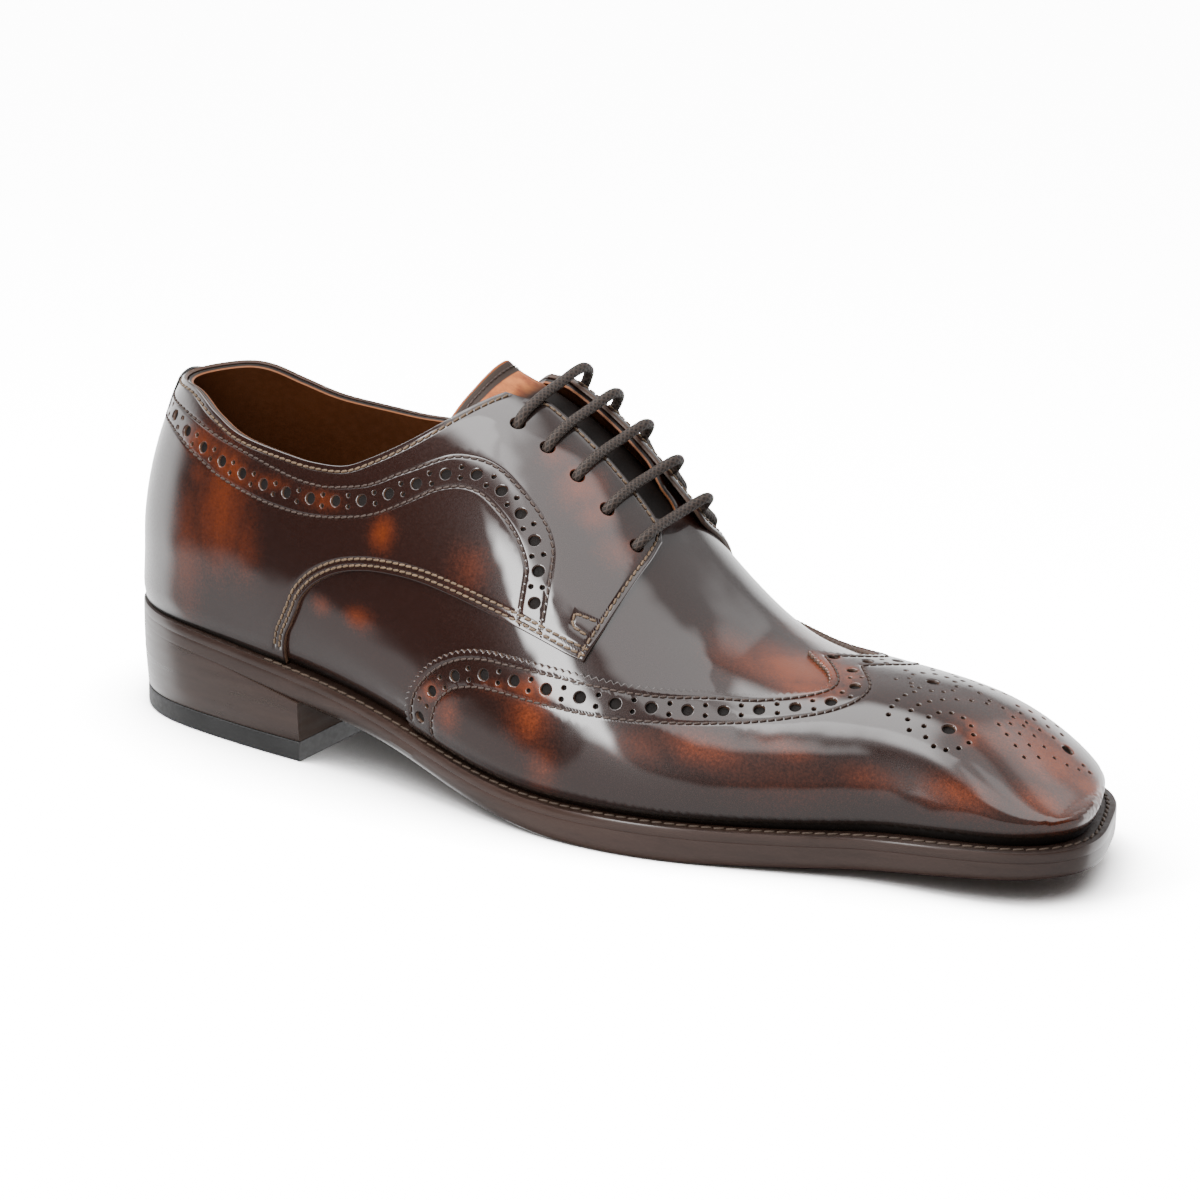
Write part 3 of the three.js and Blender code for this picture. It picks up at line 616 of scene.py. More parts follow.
def sheet_spots(outline, opening, holes, rows, pitch, rim, groove):
    """Spots of a sheet, edges that its mesh has to keep, and its rims as spot numbers.

    Every rim has an outer line, dropped by its bevel, and an inner one on the face. Those of
    holes that don't go through are named blind.
    """
    loops = [(outline, rim, 0.0)]
    if opening is not None:
        loops.append((opening[::-1], rim, 0.0))
    for centre, radius in holes:
        loops.append((circle(centre, radius, 20 if radius > 1 else 10),
                      0.2 if radius < 1 else 0.3, radius))
    parts, edges, rims, blind = [], [], [], []
    start = 0
    for line, bevel, radius in loops:
        n = len(line)
        rims.append(np.arange(start, start + n))
        blind.append(0 < radius < EYELET_RADIUS)
        for part, drop in ((line, bevel), (shift(line, bevel, closed=True), 0.0)):
            parts.append(spots(part, drop, halo=float(radius > 0)))
            edges += [(start + i, start + (i + 1) % n) for i in range(n)]
            start += n
    inner = parts[1][:, :2]

    def free(points, taken, reach, clear):
        keep = inside(inner, points) & (nearest(points, taken[:, :2]) >= reach)
        if opening is not None:
            keep &= ~inside(opening, points)
        for centre, radius in holes:
            keep &= np.hypot(*(points - centre).T) > radius + clear
        return keep

    border = np.vstack(parts)
    for line in rows:
        parts += grooved(line, groove, lambda points: free(points, border, 0.45, 0.7))
    low, high = outline.min(0), outline.max(0)
    grid = np.stack(np.meshgrid(np.arange(low[0], high[0], pitch),
                                np.arange(low[1], high[1], pitch * 0.866)), -1)
    grid[1::2, :, 0] += pitch / 2
    grid = grid.reshape(-1, 2)
    parts.append(spots(grid[free(grid, np.vstack(parts), 0.62 * pitch, 0.6)]))
    return np.vstack(parts), edges, rims, blind


def cut_sheet(name, outline, holes, rows, pitch, top, under, finishes, rim=0.35, groove=0.2,
              opening=None, lift_of=None, burnish_and_shade_of=burnish):
    """A leather sheet cut to a flat outline, with punched holes and sunk stitch rows.

    holes are (centre, radius) pairs, rows the stitch lines. top and under are its faces'
    heights over the form, and lift_of adds to both from place to place. Blind holes get a
    dark floor as painted shade, but not the eyelets, which go through. finishes are those of
    the face, the cut edge, the back and the holes' bottoms.
    """
    table, edges, rims, blind = sheet_spots(outline, opening, holes, rows, pitch, rim, groove)
    found, _, triangles, origin, _, _ = delaunay_2d_cdt(
        [Vector(q) for q in table[:, :2].tolist()], edges, [], 0, 1e-6)
    first = np.array([o[0] if o else -1 for o in origin])
    q = np.array([tuple(v) for v in found])
    count = len(q)
    table = np.where((first >= 0)[:, None], table[first], 0)
    drop, tilt, halo = table[:, 2], table[:, 3:6], table[:, 6]
    where = {source: i for i, sources in enumerate(origin) for source in sources}
    rims = [np.array([where[spot] for spot in line]) for line in rims]

    # Triangles of the sheet, and those that floor the blind holes
    tri = np.array([list(t) for t in triangles])
    centre = q[tri].mean(1)
    keep = inside(outline, centre)
    if opening is not None:
        keep &= ~inside(opening, centre)
    punched = np.full(count, -1)
    for number, ids in enumerate(rims):
        punched[ids] = number
    a, b, c = punched[tri].T
    in_hole = (a == b) & (b == c) & (a >= (1 if opening is None else 2))
    pits = tri[in_hole & np.array(blind + [False])[a]]
    tri = tri[keep & ~in_hole]
    for part in (tri, pits):
        a, b, c = q[part[:, 0]], q[part[:, 1]], q[part[:, 2]]
        turned = np.cross(b - a, c - a) < 0
        part[turned] = part[turned][:, ::-1]

    place, normal, dx, dy = lay(q)
    raised = lift_of(q, place) if lift_of else np.zeros(count)
    upper = place + normal * (top - drop + raised)[:, None]
    lower = place + normal * (under + raised)[:, None]
    lift = unit(normal + tilt)
    floor_of = np.arange(count) + count
    bottom = np.zeros((0, 3))
    for ids, is_blind in zip(rims, blind):
        if is_blind:
            floor_of[ids] = 2 * count + len(bottom) + np.arange(len(ids))
            bottom = np.vstack([bottom, place[ids] + normal[ids] * PIT_FLOOR])
    walls, wall_lift = [], []
    for ids in rims:
        out = np.cross(on_form(tangents(q[ids], True), dx[ids], dy[ids]), normal[ids])
        lift[ids] = soft = unit(out + 0.9 * normal[ids])
        after = np.roll(ids, -1)
        walls.append(np.stack([floor_of[ids], floor_of[after], after, ids], -1))
        wall_lift.append(np.stack([out, np.roll(out, -1, 0), np.roll(soft, -1, 0), soft], 1))
    back = np.vstack([tri, pits])[:, ::-1]
    faces, corners, slots = [], [], []
    for slot, part, lifts in ((0, tri, lift[tri]), (1, np.vstack(walls), np.vstack(wall_lift)),
                              (3, floor_of[pits], normal[pits]),
                              (2, back + count, -normal[back])):
        faces += part.tolist()
        corners.append(lifts.reshape(-1, 3))
        slots += [slot] * len(part)

    # Painted shade: tuck is 1 at the welt and 0 from 3.8 to 6.2 mm over it; the patina paints it
    # near black.
    over = place[:, 2] - welt_top(place[:, 0])
    tuck = np.clip(1 - over / np.interp(place[:, 0], (60, 110), (3.8, 6.2)), 0, 1)
    more = len(bottom)
    # The burnish mark holds the patina's patches, and on the tongue its share out of the painted
    # shade in the throat.
    marks = {key: np.concatenate([value, value, np.zeros(more)]) for key, value in (
        ("burnish", burnish_and_shade_of(place)), ("halo", halo), ("border", nearest(q, outline)),
        ("tuck", tuck))}
    marks["under"] = np.repeat([0.0, 1.0, 0.0], (count, count, more))
    flat_uv = np.vstack([q, q, np.zeros((more, 2))]) / 100
    return new_object(name, np.vstack([upper, lower, bottom]), faces, finishes, slots,
                      np.vstack(corners), marks, flat_uv)


def hole_pairs(line, pitch, large, small, start):
    """Large holes at a pitch from a start on, with a pair of small ones between each two."""
    run = run_along(skin(line))
    count = int(round((run[-1] - start) / pitch))
    step = (run[-1] - start) / count
    at = start + step * np.arange(count + 1)
    between = at[:-1] + step / 2
    centre, ahead = picked(line, run, between), picked(line, run, between + 0.3)
    _, normal, dx, dy = lay(centre)
    side = np.cross(normal, on_form(ahead - centre, dx, dy))
    holes = [(c, large / 2) for c in picked(line, run, at)]
    for sign in (-1, 1):
        holes += [(c, small / 2) for c in centre + to_flat(side * sign * PAIR_ASIDE, dx, dy)]
    return holes


def facing_edge():
    """Front edge of the lateral facing, and its throat edge up to the collar."""
    front = line_of(FRONT)
    throat = plan(np.array([169, 163.5, 155, 145, 137, 133, 130.2, 127.6]),
                  np.array([1.3, 2.4, 2.5, 2.5, 2.5, 2.3, 0.6, -2.4]))
    return front, smooth(np.vstack([front[-1:], throat, topline(-1)[-2:-1]]), 8)


def quarter_outline(side):
    """Outline of a quarter, its material on the left."""
    welt = flat(np.linspace(0, SEAM[0][0], 60), np.full(60, -1.0))
    seam, top = line_of(SEAM), topline(-1)
    front, rise = facing_edge()
    back = flat(np.zeros(16), np.linspace(unfold(top[:1])[1][0], -1, 16))
    loop = np.vstack([spaced(part, 1.1)[:-1] for part in
                      (welt, seam, front, rise, top[:-1][::-1], back)])
    return loop if side < 0 else mirrored(loop)[::-1]


# Materials
def colour(value):
    """Linear colour from a hex string."""
    rgb = [int(value[i:i + 2], 16) / 255 for i in (0, 2, 4)]
    return tuple(c / 12.92 if c <= 0.04045 else ((c + 0.055) / 1.055) ** 2.4 for c in rgb) + (1,)


def put(tree, kind, inputs=None, **settings):
    """A node with its settings and input values or links."""
    node = tree.nodes.new(kind)
    for key, value in settings.items():
        setattr(node, key, value)
    for key, value in (inputs or {}).items():
        if isinstance(value, bpy.types.NodeSocket):
            tree.links.new(value, node.inputs[key])
        else:
            node.inputs[key].default_value = value
    return node


def mapped(tree, value, low, high, to_low=0.0, to_high=1.0):
    """A value's softly eased share between two bounds."""
    return put(tree, "ShaderNodeMapRange", {0: value, 1: low, 2: high, 3: to_low, 4: to_high},
               interpolation_type="SMOOTHSTEP").outputs[0]


def blend(tree, share, a, b):
    """A colour between two."""
    return put(tree, "ShaderNodeMix", {0: share, 6: a, 7: b}, data_type="RGBA").outputs[2]


def mark(tree, key):
    """One of the sheet meshes' marks."""
    return put(tree, "ShaderNodeAttribute", attribute_name=key).outputs["Fac"]


def shoe_place(tree):
    """Place on the shoe."""
    return put(tree, "ShaderNodeTexCoord").outputs["Object"]


def noise(tree, where, scale, detail, rough, stretch=None):
    """Cloudy noise, in streaks where it is stretched."""
    if stretch:
        where = put(tree, "ShaderNodeMapping", {0: where, 3: stretch}).outputs[0]
    return put(tree, "ShaderNodeTexNoise",
               {"Vector": where, "Scale": scale, "Detail": detail, "Roughness": rough}).outputs[0]


def maths(tree, mode, a, b=0.0):
    """One step of arithmetic on node values."""
    return put(tree, "ShaderNodeMath", {0: a, 1: b}, operation=mode).outputs[0]


def group(name, inputs, outputs):
    """A new node group with sockets, its input and output nodes."""
    tree = bpy.data.node_groups.new(name, "ShaderNodeTree")
    for key, kind, value in inputs:
        socket = tree.interface.new_socket(key, in_out="INPUT", socket_type=kind)
        if value is not None:
            socket.default_value = value
    for key, kind in outputs:
        tree.interface.new_socket(key, in_out="OUTPUT", socket_type=kind)
    return tree, tree.nodes.new("NodeGroupInput"), tree.nodes.new("NodeGroupOutput")


def patina_group():
    """Dark polish rubbed back to warm leather in patches, with streaks and speckle,
    and painted shade, near black, just over the welt, where the coat thins too.
    """
    tree, given, out = group("Patina", [
        ("Dark", "NodeSocketColor", None), ("Warm", "NodeSocketColor", None),
        ("Glow", "NodeSocketColor", None), ("Amount", "NodeSocketFloat", 1.0),
        ("Mottle", "NodeSocketFloat", 0.5),
    ], [("Colour", "NodeSocketColor"), ("Rough", "NodeSocketFloat"),
        ("Height", "NodeSocketFloat"), ("Polish", "NodeSocketFloat")])
    where = shoe_place(tree)
    patch, halo, tuck = mark(tree, "burnish"), mark(tree, "halo"), mark(tree, "tuck")
    cloud = noise(tree, where, 38, 4, 0.6)
    streak = noise(tree, where, 170, 3, 0.6, (1.3, 1.3, 0.3))
    speckle = noise(tree, where, 1300, 3, 0.75)
    fine = noise(tree, where, 2600, 2, 0.6)
    mottle = given.outputs["Mottle"]
    drift = maths(tree, "MULTIPLY", maths(tree, "SUBTRACT", cloud, 0.5), mottle)
    drift = maths(tree, "ADD", drift, maths(tree, "MULTIPLY", maths(
        tree, "MULTIPLY", maths(tree, "SUBTRACT", streak, 0.5), mottle),
        maths(tree, "MULTIPLY", patch, 1.4)))
    amount = maths(tree, "MULTIPLY", maths(tree, "ADD", patch, drift), given.outputs["Amount"])
    grain = maths(tree, "MULTIPLY", maths(tree, "SUBTRACT", speckle, 0.5), 0.8)
    rubbed = maths(tree, "ADD", amount, grain)
    warm = blend(tree, mapped(tree, rubbed, 0.08, 0.68), given.outputs["Dark"],
                 given.outputs["Warm"])
    bright = mapped(tree, rubbed, 0.45, 1.4)
    haloed = maths(tree, "MULTIPLY", halo, mapped(tree, amount, 0.15, 0.6, 0.0, 0.4))
    shade = blend(tree, maths(tree, "MAXIMUM", bright, haloed), warm, given.outputs["Glow"])
    # Painted shade: near black over the welt, where the upper tucks under.
    shade = blend(tree, mapped(tree, tuck, 0.2, 0.55), shade, (0.005, 0.003, 0.002, 1))
    tree.links.new(shade, out.inputs["Colour"])
    tree.links.new(mapped(tree, speckle, 0.3, 0.7, 0.3, 0.42), out.inputs["Rough"])
    height = maths(tree, "ADD", fine, maths(tree, "MULTIPLY", speckle, 0.6))
    tree.links.new(height, out.inputs["Height"])
    tree.links.new(mapped(tree, tuck, 0.25, 0.8, 1.0, 0.15), out.inputs["Polish"])
    return tree


def shader(name, **constants):
    """A new material with its surface shader and the shader's constants."""
    material = bpy.data.materials.new(name)
    material.use_nodes = True
    tree = material.node_tree
    surface = tree.nodes["Principled BSDF"]
    for key, value in constants.items():
        surface.inputs[key.replace("_", " ")].default_value = value
    return material, tree, surface


def bump(tree, surface, height, distance, strength=1.0, into="Normal"):
    """Relief of a surface, or of its coat alone."""
    made = put(tree, "ShaderNodeBump", {"Height": height, "Distance": distance,
                                        "Strength": strength})
    tree.links.new(made.outputs[0], surface.inputs[into])


def patina(name, colours, amount=1.0, mottle=0.5, polish=0.06, glow=0.45):
    """Burnished leather under a coat of polish that swells softly."""
    material, tree, surface = shader(name, Specular_IOR_Level=0.25, IOR=1.5,
                                     Coat_Roughness=polish, Coat_IOR=1.8)
    kind = put(tree, "ShaderNodeGroup", node_tree=bpy.data.node_groups["Patina"])
    for key, value in (("Dark", (*colours.leather_dark, 1)), ("Warm", (*colours.leather_warm, 1)),
                       ("Glow", (*(glow * c for c in colours.leather_glow), 1)),
                       ("Amount", amount), ("Mottle", mottle)):
        kind.inputs[key].default_value = value
    for key, socket in (("Polish", "Coat Weight"), ("Colour", "Base Color"),
                        ("Rough", "Roughness")):
        tree.links.new(kind.outputs[key], surface.inputs[socket])
    bump(tree, surface, kind.outputs["Height"], 0.00003, 0.6)
    bump(tree, surface, noise(tree, shoe_place(tree), 70, 1, 0.4), 0.0003, into="Coat Normal")
    return material


def layered(name):
    """Cut edge of the lined upper: dark leather over the tan lining."""
    material, tree, surface = shader(name, Roughness=0.5)
    shade = blend(tree, mapped(tree, mark(tree, "under"), 0.5, 0.62),
                  (0.012, 0.007, 0.005, 1), (0.3, 0.1, 0.03, 1))
    tree.links.new(shade, surface.inputs["Base Color"])
    return material


def braid(name, colours):
    """Waxed round lace: a fine diagonal weave along its UV map.

    Its grooves get painted shade and its crests a painted highlight.
    """
    material, tree, surface = shader(name, Roughness=0.62)
    u, v, _ = put(tree, "ShaderNodeSeparateXYZ", {0: put(
        tree, "ShaderNodeTexCoord").outputs["UV"]}).outputs
    waves = []
    for sign in (1, -1):
        turn = maths(tree, "ADD", maths(tree, "MULTIPLY", u, 6 * math.pi),
                     maths(tree, "MULTIPLY", v, sign * 5 * math.pi))
        waves.append(maths(tree, "ABSOLUTE", maths(tree, "SINE", turn)))
    weave = mapped(tree, maths(tree, "MAXIMUM", *waves), 0.6, 1.0)
    # Painted shade and highlight: darker than the lace in the weave's grooves, lighter on its
    # crests.
    dark = tuple(0.45 * c for c in colours.lace) + (1,)
    light = tuple(1.5 * c for c in colours.lace) + (1,)
    tree.links.new(blend(tree, weave, dark, light), surface.inputs["Base Color"])
    bump(tree, surface, weave, 0.00016, 0.8)
    return material


def bound(name):
    """The tongue's leather, with a dark binding round its edge.

    Its front, between the facings, is painted near black as shade.
    """
    material, tree, surface = shader(name, Roughness=0.55, Specular_IOR_Level=0.3)
    away, glow, where = mark(tree, "border"), mark(tree, "burnish"), shoe_place(tree)
    cloud = noise(tree, where, 160, 4, 0.65, (1, 1, 0.4))
    body = blend(tree, mapped(tree, cloud, 0.3, 0.72), (0.78, 0.25, 0.07, 1),
                 (0.36, 0.085, 0.028, 1))
    # Painted shade: where the tongue's share is low, in the throat between the facings, it is
    # painted near black.
    body = blend(tree, mapped(tree, glow, 0.15, 0.85), (0.006, 0.003, 0.002, 1), body)
    shade = blend(tree, mapped(tree, away, 4.3, 4.7), (0.045, 0.028, 0.021, 1), body)
    shade = blend(tree, mapped(tree, away, 0.7, 1.0, 1.0, 0.0), shade, (0.42, 0.12, 0.03, 1))
    tree.links.new(shade, surface.inputs["Base Color"])
    bump(tree, surface, noise(tree, where, 900, 3, 0.6), 0.00006, 0.6)
    return material


def plain(name, base, rough, scale=600, depth=0.0001, mottle=0.3, coat=0.0, stretch=None):
    """A mottled finish of one colour with a grain."""
    material, tree, surface = shader(name, Coat_Weight=coat, Coat_Roughness=0.15)
    where = shoe_place(tree)
    grain = noise(tree, where, scale, 4, 0.65, stretch)
    cloud = noise(tree, where, scale / 12, 3, 0.5)
    dark = tuple(c * (1 - mottle) for c in base[:3]) + (1,)
    light = tuple(min(c * (1 + mottle), 1) for c in base[:3]) + (1,)
    shade = blend(tree, mapped(tree, maths(tree, "ADD", grain, cloud), 0.7, 1.3), dark, light)
    tree.links.new(shade, surface.inputs["Base Color"])
    tree.links.new(mapped(tree, grain, 0.3, 0.7, rough - 0.06, rough + 0.08),
                   surface.inputs["Roughness"])
    bump(tree, surface, grain, depth, 0.6)
    return material


def rgba(value):
    """A colour with its alpha."""
    return (*value, 1)


def materials():
    """The shoe's finishes, made once."""
    if "Patina" not in bpy.data.node_groups:
        patina_group()
    c = bpy.context.scene.shoe_colours
    recipes = {
        "leather": (patina, c),
        "cap leather": (patina, c, 0.9, 0.3, 0.09, 0.8),
        "cut edge": (plain, (0.075, 0.038, 0.022), 0.45, 900, 0.00006),
        "lining edge": (layered,),
        # Painted shade: blind holes get a near-black, matte floor for the shade in them, laid over
        # the leather beneath.
        "pit": (plain, colour("17110f"), 0.9, 900, 0.00006),
        "flesh side": (plain, colour("3a2417"), 0.8, 900, 0.0001),
        "lining": (plain, rgba(c.lining), 0.45, 500, 0.00008, 0.15),
        "strap": (plain, colour("0f0b0a"), 0.3, 700, 0.00005, 0.2, 0.6),
        "tongue": (bound,),
        "binding": (plain, colour("33211b"), 0.42, 700, 0.00005, 0.2, 0.3),
        "thread": (plain, rgba(c.thread), 0.55, 3000, 0.00003, 0.2),
        "tan thread": (plain, rgba(c.tan_thread), 0.5, 3000, 0.00003, 0.25),
        "welt thread": (plain, colour("4f4034"), 0.6, 3000, 0.00003, 0.2),
        "breast": (plain, (0.05, 0.028, 0.018), 0.8, 200, 0.00003, 0.2, 0, (0.3, 0.3, 3)),
        "lace": (braid, c),
        "sole edge": (plain, rgba(c.sole), 0.34, 150, 0.00001, 0.22, 0.5, (0.3, 0.3, 2.5)),
        "sole leather": (plain, colour("5a3520"), 0.6, 300, 0.0001),
        "welt": (plain, colour("2b1a12"), 0.5, 500, 0.0001),
        "heel leather": (plain, rgba(c.sole), 0.32, 120, 0.00001, 0.18, 0.6, (0.3, 0.3, 3)),
        "rubber": (plain, rgba(c.rubber), 0.55, 900, 0.00006, 0.2),
        "insole": (plain, colour("8a5228"), 0.5, 500, 0.00006, 0.15),
    }
    return {name: bpy.data.materials.get(name) or make(name, *given)
            for name, (make, *given) in recipes.items()}


# Settings
class ShoeSizes(bpy.types.PropertyGroup):
    leather: bpy.props.FloatProperty(
        name="Leather", description="Height of the outer leather's face over the form, mm",
        default=1.5, min=0.5, max=3)
    large_hole: bpy.props.FloatProperty(
        name="Large hole", description="Diameter of the large perforations, mm", default=3.2)
    small_hole: bpy.props.FloatProperty(
        name="Small hole", description="Diameter of the small perforations, mm", default=1.35)
    hole_pitch: bpy.props.FloatProperty(
        name="Hole pitch", description="Distance between large perforations, mm", default=9.0)
    stitch_pitch: bpy.props.FloatProperty(
        name="Stitch", description="Length of one stitch with its gap, mm", default=2.2)
    welt_pitch: bpy.props.FloatProperty(
        name="Welt stitch", description="Length of one welt stitch with its gap, mm", default=3.4)
    lace: bpy.props.FloatProperty(
        name="Lace", description="Diameter of the lace, mm", default=2.95)
    pitch: bpy.props.FloatProperty(
        name="Mesh pitch", description="Distance between the leather mesh's points, mm",
        default=1.5)


class ShoeColours(bpy.types.PropertyGroup):
    leather_dark: bpy.props.FloatVectorProperty(
        name="Polish", description="Dark polish", subtype="COLOR", size=3,
        default=(0.02, 0.0056, 0.0034))
    leather_warm: bpy.props.FloatVectorProperty(
        name="Warm", description="Leather under thin polish", subtype="COLOR", size=3,
        default=(0.082, 0.0155, 0.0045))
    leather_glow: bpy.props.FloatVectorProperty(
        name="Burnish", description="Bright burnished leather", subtype="COLOR", size=3,
        default=(0.5, 0.09, 0.013))
    lining: bpy.props.FloatVectorProperty(
        name="Lining", description="Lining leather", subtype="COLOR", size=3,
        default=(0.085, 0.026, 0.007))
    thread: bpy.props.FloatVectorProperty(
        name="Thread", description="Thread of the perforated bands", subtype="COLOR", size=3,
        default=colour("4a3b34")[:3])
    tan_thread: bpy.props.FloatVectorProperty(
        name="Tan thread", description="Thread of the seams and edges", subtype="COLOR", size=3,
        default=(0.17, 0.11, 0.065))
    lace: bpy.props.FloatVectorProperty(
        name="Lace", description="Waxed lace", subtype="COLOR", size=3,
        default=(0.04, 0.027, 0.021))
    sole: bpy.props.FloatVectorProperty(
        name="Sole", description="Polished sole and heel edge", subtype="COLOR", size=3,
        default=(0.05, 0.028, 0.021))
    rubber: bpy.props.FloatVectorProperty(
        name="Rubber", description="Heel's rubber lift", subtype="COLOR", size=3,
        default=(0.03, 0.03, 0.03))


class StudioSettings(bpy.types.PropertyGroup):
    floor: bpy.props.FloatProperty(
        name="Floor", description="How white the floor looks", default=11.0, min=0, max=20)
    floor_bounce: bpy.props.FloatProperty(
        name="Floor bounce", description="How much light the floor throws back",
        default=0.5, min=0, max=1)
    backdrop: bpy.props.FloatProperty(
        name="Backdrop", description="Brightness behind the shoe", default=24.0, min=0)
    sweep: bpy.props.FloatProperty(
        name="Sweep", description="Brightness of the paper's rise beyond the floor",
        default=0.65, min=0)
    dark: bpy.props.FloatProperty(
        name="Surroundings", description="Brightness between the light panels",
        default=0.04, min=0)
    overhead: bpy.props.FloatProperty(
        name="Overhead", description="Overhead panel, watts", default=2.6, min=0)
    side: bpy.props.FloatProperty(
        name="Side", description="Softbox beside the shoe, watts", default=1.1, min=0)


def ready(made, slot, *nodes):
    """Rides on the shoe's body and stands for CAD nodes, which it hides; slot is not used."""
    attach(made, "root")
    if nodes:
        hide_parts(*nodes)
    return made


def ease(share):
    """A share from 0 to 1, slow at both ends."""
    share = np.clip(share, 0, 1)
    return share * share * (3 - 2 * share)


def facing_rise(q, place, front=168.0):
    """How far the medial facing stands off the tongue along the throat."""
    x, away = place[:, 0], place[:, 1] - THROAT[1]
    rise = FACING_LIFT * (1 - ease(away / 7)) * ease((x - 122) / 8) * (1 - ease((x - front) / 8))
    return np.where(away < -1.5, 0, rise)


def eyelets(side):
    """Eyelet centres of one facing on the flat pattern."""
    x = np.array(EYELET_X)
    edge = plan(x, np.full(len(x), THROAT[0] if side < 0 else THROAT[1]))
    edge[:, 1] += side * EYELET_INSET
    return edge


class SHOE_OT_upper(bpy.types.Operator):
    """Vamp and lining, with the collar and the throat cut out"""
    bl_idname = "shoe.upper"
    bl_label = "Upper"

    def execute(self, context):
        sizes = context.scene.shoe_sizes
        m = materials()
        outline = spaced(flat(np.linspace(0, TURN, 400), np.full(400, -1.0)), 1.6)[:-1]
        left, right = topline(-1), topline(1)
        x = np.linspace(132, THROAT_END + 3, 14)
        near_edge = plan(x, np.full(14, THROAT[0]))
        far_edge = plan(x, np.full(14, THROAT[1]))
        end = plan(np.array([5.4, 6, 6, 5.4]) + THROAT_END,
                   np.array([4.0, 7.0, 13.0, 16.0]))
        opening = np.vstack([left[:-1], near_edge, end, far_edge[::-1], right[:-1][::-1]])
        opening = spaced(opening, 1.3)[:-1]
        holes = [(c, EYELET_RADIUS) for side in (-1, 1) for c in eyelets(side)]
        made = cut_sheet("upper_leather", outline, holes, [], sizes.pitch * 1.3, 0.0, -1.9,
                         [m["leather"], m["lining edge"], m["lining"]], 0.5, 0, opening,
                         lambda q, place: facing_rise(q, place, 155.0))
        ready(made, "upper_leather", "upper")
        return {"FINISHED"}


class SHOE_OT_quarters(bpy.types.Operator):
    """Both quarters with their perforated collar bands"""
    bl_idname = "shoe.quarters"
    bl_label = "Quarters"

    def execute(self, context):
        sizes = context.scene.shoe_sizes
        m = materials()
        for side, name in ((-1, "quarter_lateral"), (1, "quarter_medial")):
            holes = hole_pairs(line_of(BAND_HOLES, side), sizes.hole_pitch, sizes.large_hole,
                               sizes.small_hole, 4.0)
            holes += [(c, EYELET_RADIUS) for c in eyelets(side)]
            made = cut_sheet(name + "_leather", quarter_outline(side), holes,
                             quarter_rows(side), sizes.pitch, sizes.leather, SHEET_UNDER,
                             [m["leather"], m["cut edge"], m["flesh side"], m["pit"]],
                             lift_of=facing_rise if side > 0 else None)
            ready(made, "upper_leather", name)
        return {"FINISHED"}


def quarter_rows(side):
    """Stitch rows of a quarter: both rows of the band, collar edge, facing and seam."""
    sign = 1 if side < 0 else -1
    band = [line_of(BAND_TOP, side), line_of(BAND_LOW, side)]
    seam = line_of(SEAM[1:], side)
    double = [shift(seam, sign * 1.5), shift(seam, sign * 3.3)]
    collar = shift(topline(side)[2:-1], -sign * 1.7)
    front, rise = facing_edge()
    edge = np.vstack([front, rise[1:-9]])
    edge = shift(edge if side < 0 else mirrored(edge), sign * 1.6)
    return band + [collar, edge, on_side(*np.array(TACK).T, side)] + double


class SHOE_OT_wing_cap(bpy.types.Operator):
    """Wing cap with its gimped edge, perforated band and medallion"""
    bl_idname = "shoe.wing_cap"
    bl_label = "Wing cap"

    def execute(self, context):
        sizes = context.scene.shoe_sizes
        m = materials()
        left = shift(line_of(WING_TOP), 1.7)
        level = unfold(left)[1]
        left = left[(level < 0.93) | (np.arange(len(left)) < len(left) // 2)]
        left = np.vstack([left, flat([WING_PEAK], [1.0])])
        teeth = spaced(left, 0.5)
        wave = np.array([0, 0.6, 0.95, 0.6])[np.arange(len(teeth)) % 4]
        left = np.vstack([shift(teeth, wave)[:-1], teeth[-1:]])
        k, level = unfold(left)
        keep = level > -0.93
        left, k, level = left[keep], k[keep], level[keep]
        k[-1], level[-1] = WING_PEAK, 1.0
        right = flat(TURN - k, level)[:-1]
        welt = spaced(flat(np.linspace(k[0], TURN - k[0], 300), np.full(300, -1.0)), 1.2)
        outline = np.vstack([welt, right, left[::-1]])
        holes = []
        for side in (-1, 1):
            holes += hole_pairs(line_of(WING_HOLES, side), WING_PITCH, sizes.large_hole,
                                sizes.small_hole, 3.0)
        holes.append((plan(*np.array(WING_TIP_HOLE)[:, None])[0], sizes.large_hole / 2))
        holes += medallion(sizes.small_hole / 2)
        rows = [line_of(r, side) for r in (WING_TOP[1:], WING_LOW[1:]) for side in (-1, 1)]
        made = cut_sheet("wing_cap_leather", outline, holes, rows, sizes.pitch, sizes.leather,
                         SHEET_UNDER, [m["cap leather"], m["cut edge"], m["flesh side"],
                                       m["pit"]], 0.3)
        ready(made, "upper_leather", "wing_cap")
        return {"FINISHED"}


def medallion(small):
    """The toe's punched ornament, a little narrower on the medial side of its axis."""
    start, stop = np.array(MEDALLION_AXIS)
    ahead = unit(stop - start)
    beside = np.array([-ahead[1], ahead[0]])
    spots_of = []
    for side in (1, -MEDALLION_SQUEEZE):
        spots_of += [(u, v * side, MEDALLION_RADIUS) for u, v in MEDALLION_LARGE
                     if side > 0 or v != 0]
        for u, v, radius, count in MEDALLION_RINGS:
            if side > 0 or v != 0:
                for turn in 2 * np.pi * (np.arange(count) + 0.5) / count:
                    spots_of.append((u + radius * math.cos(turn),
                                     v * side + radius * math.sin(turn), small))
        spots_of += [(u, v * side, small) for line in MEDALLION_LINES for u, v in line]
    kept = []
    for hole in np.array(spots_of):
        if all(np.hypot(*(hole[:2] - other[:2])) > hole[2] + other[2] + 0.5 for other in kept):
            kept.append(hole)
    kept = np.array(kept)
    place = start + kept[:, :1] * ahead + kept[:, 1:2] * beside
    return list(zip(plan(*place.T), kept[:, 2]))


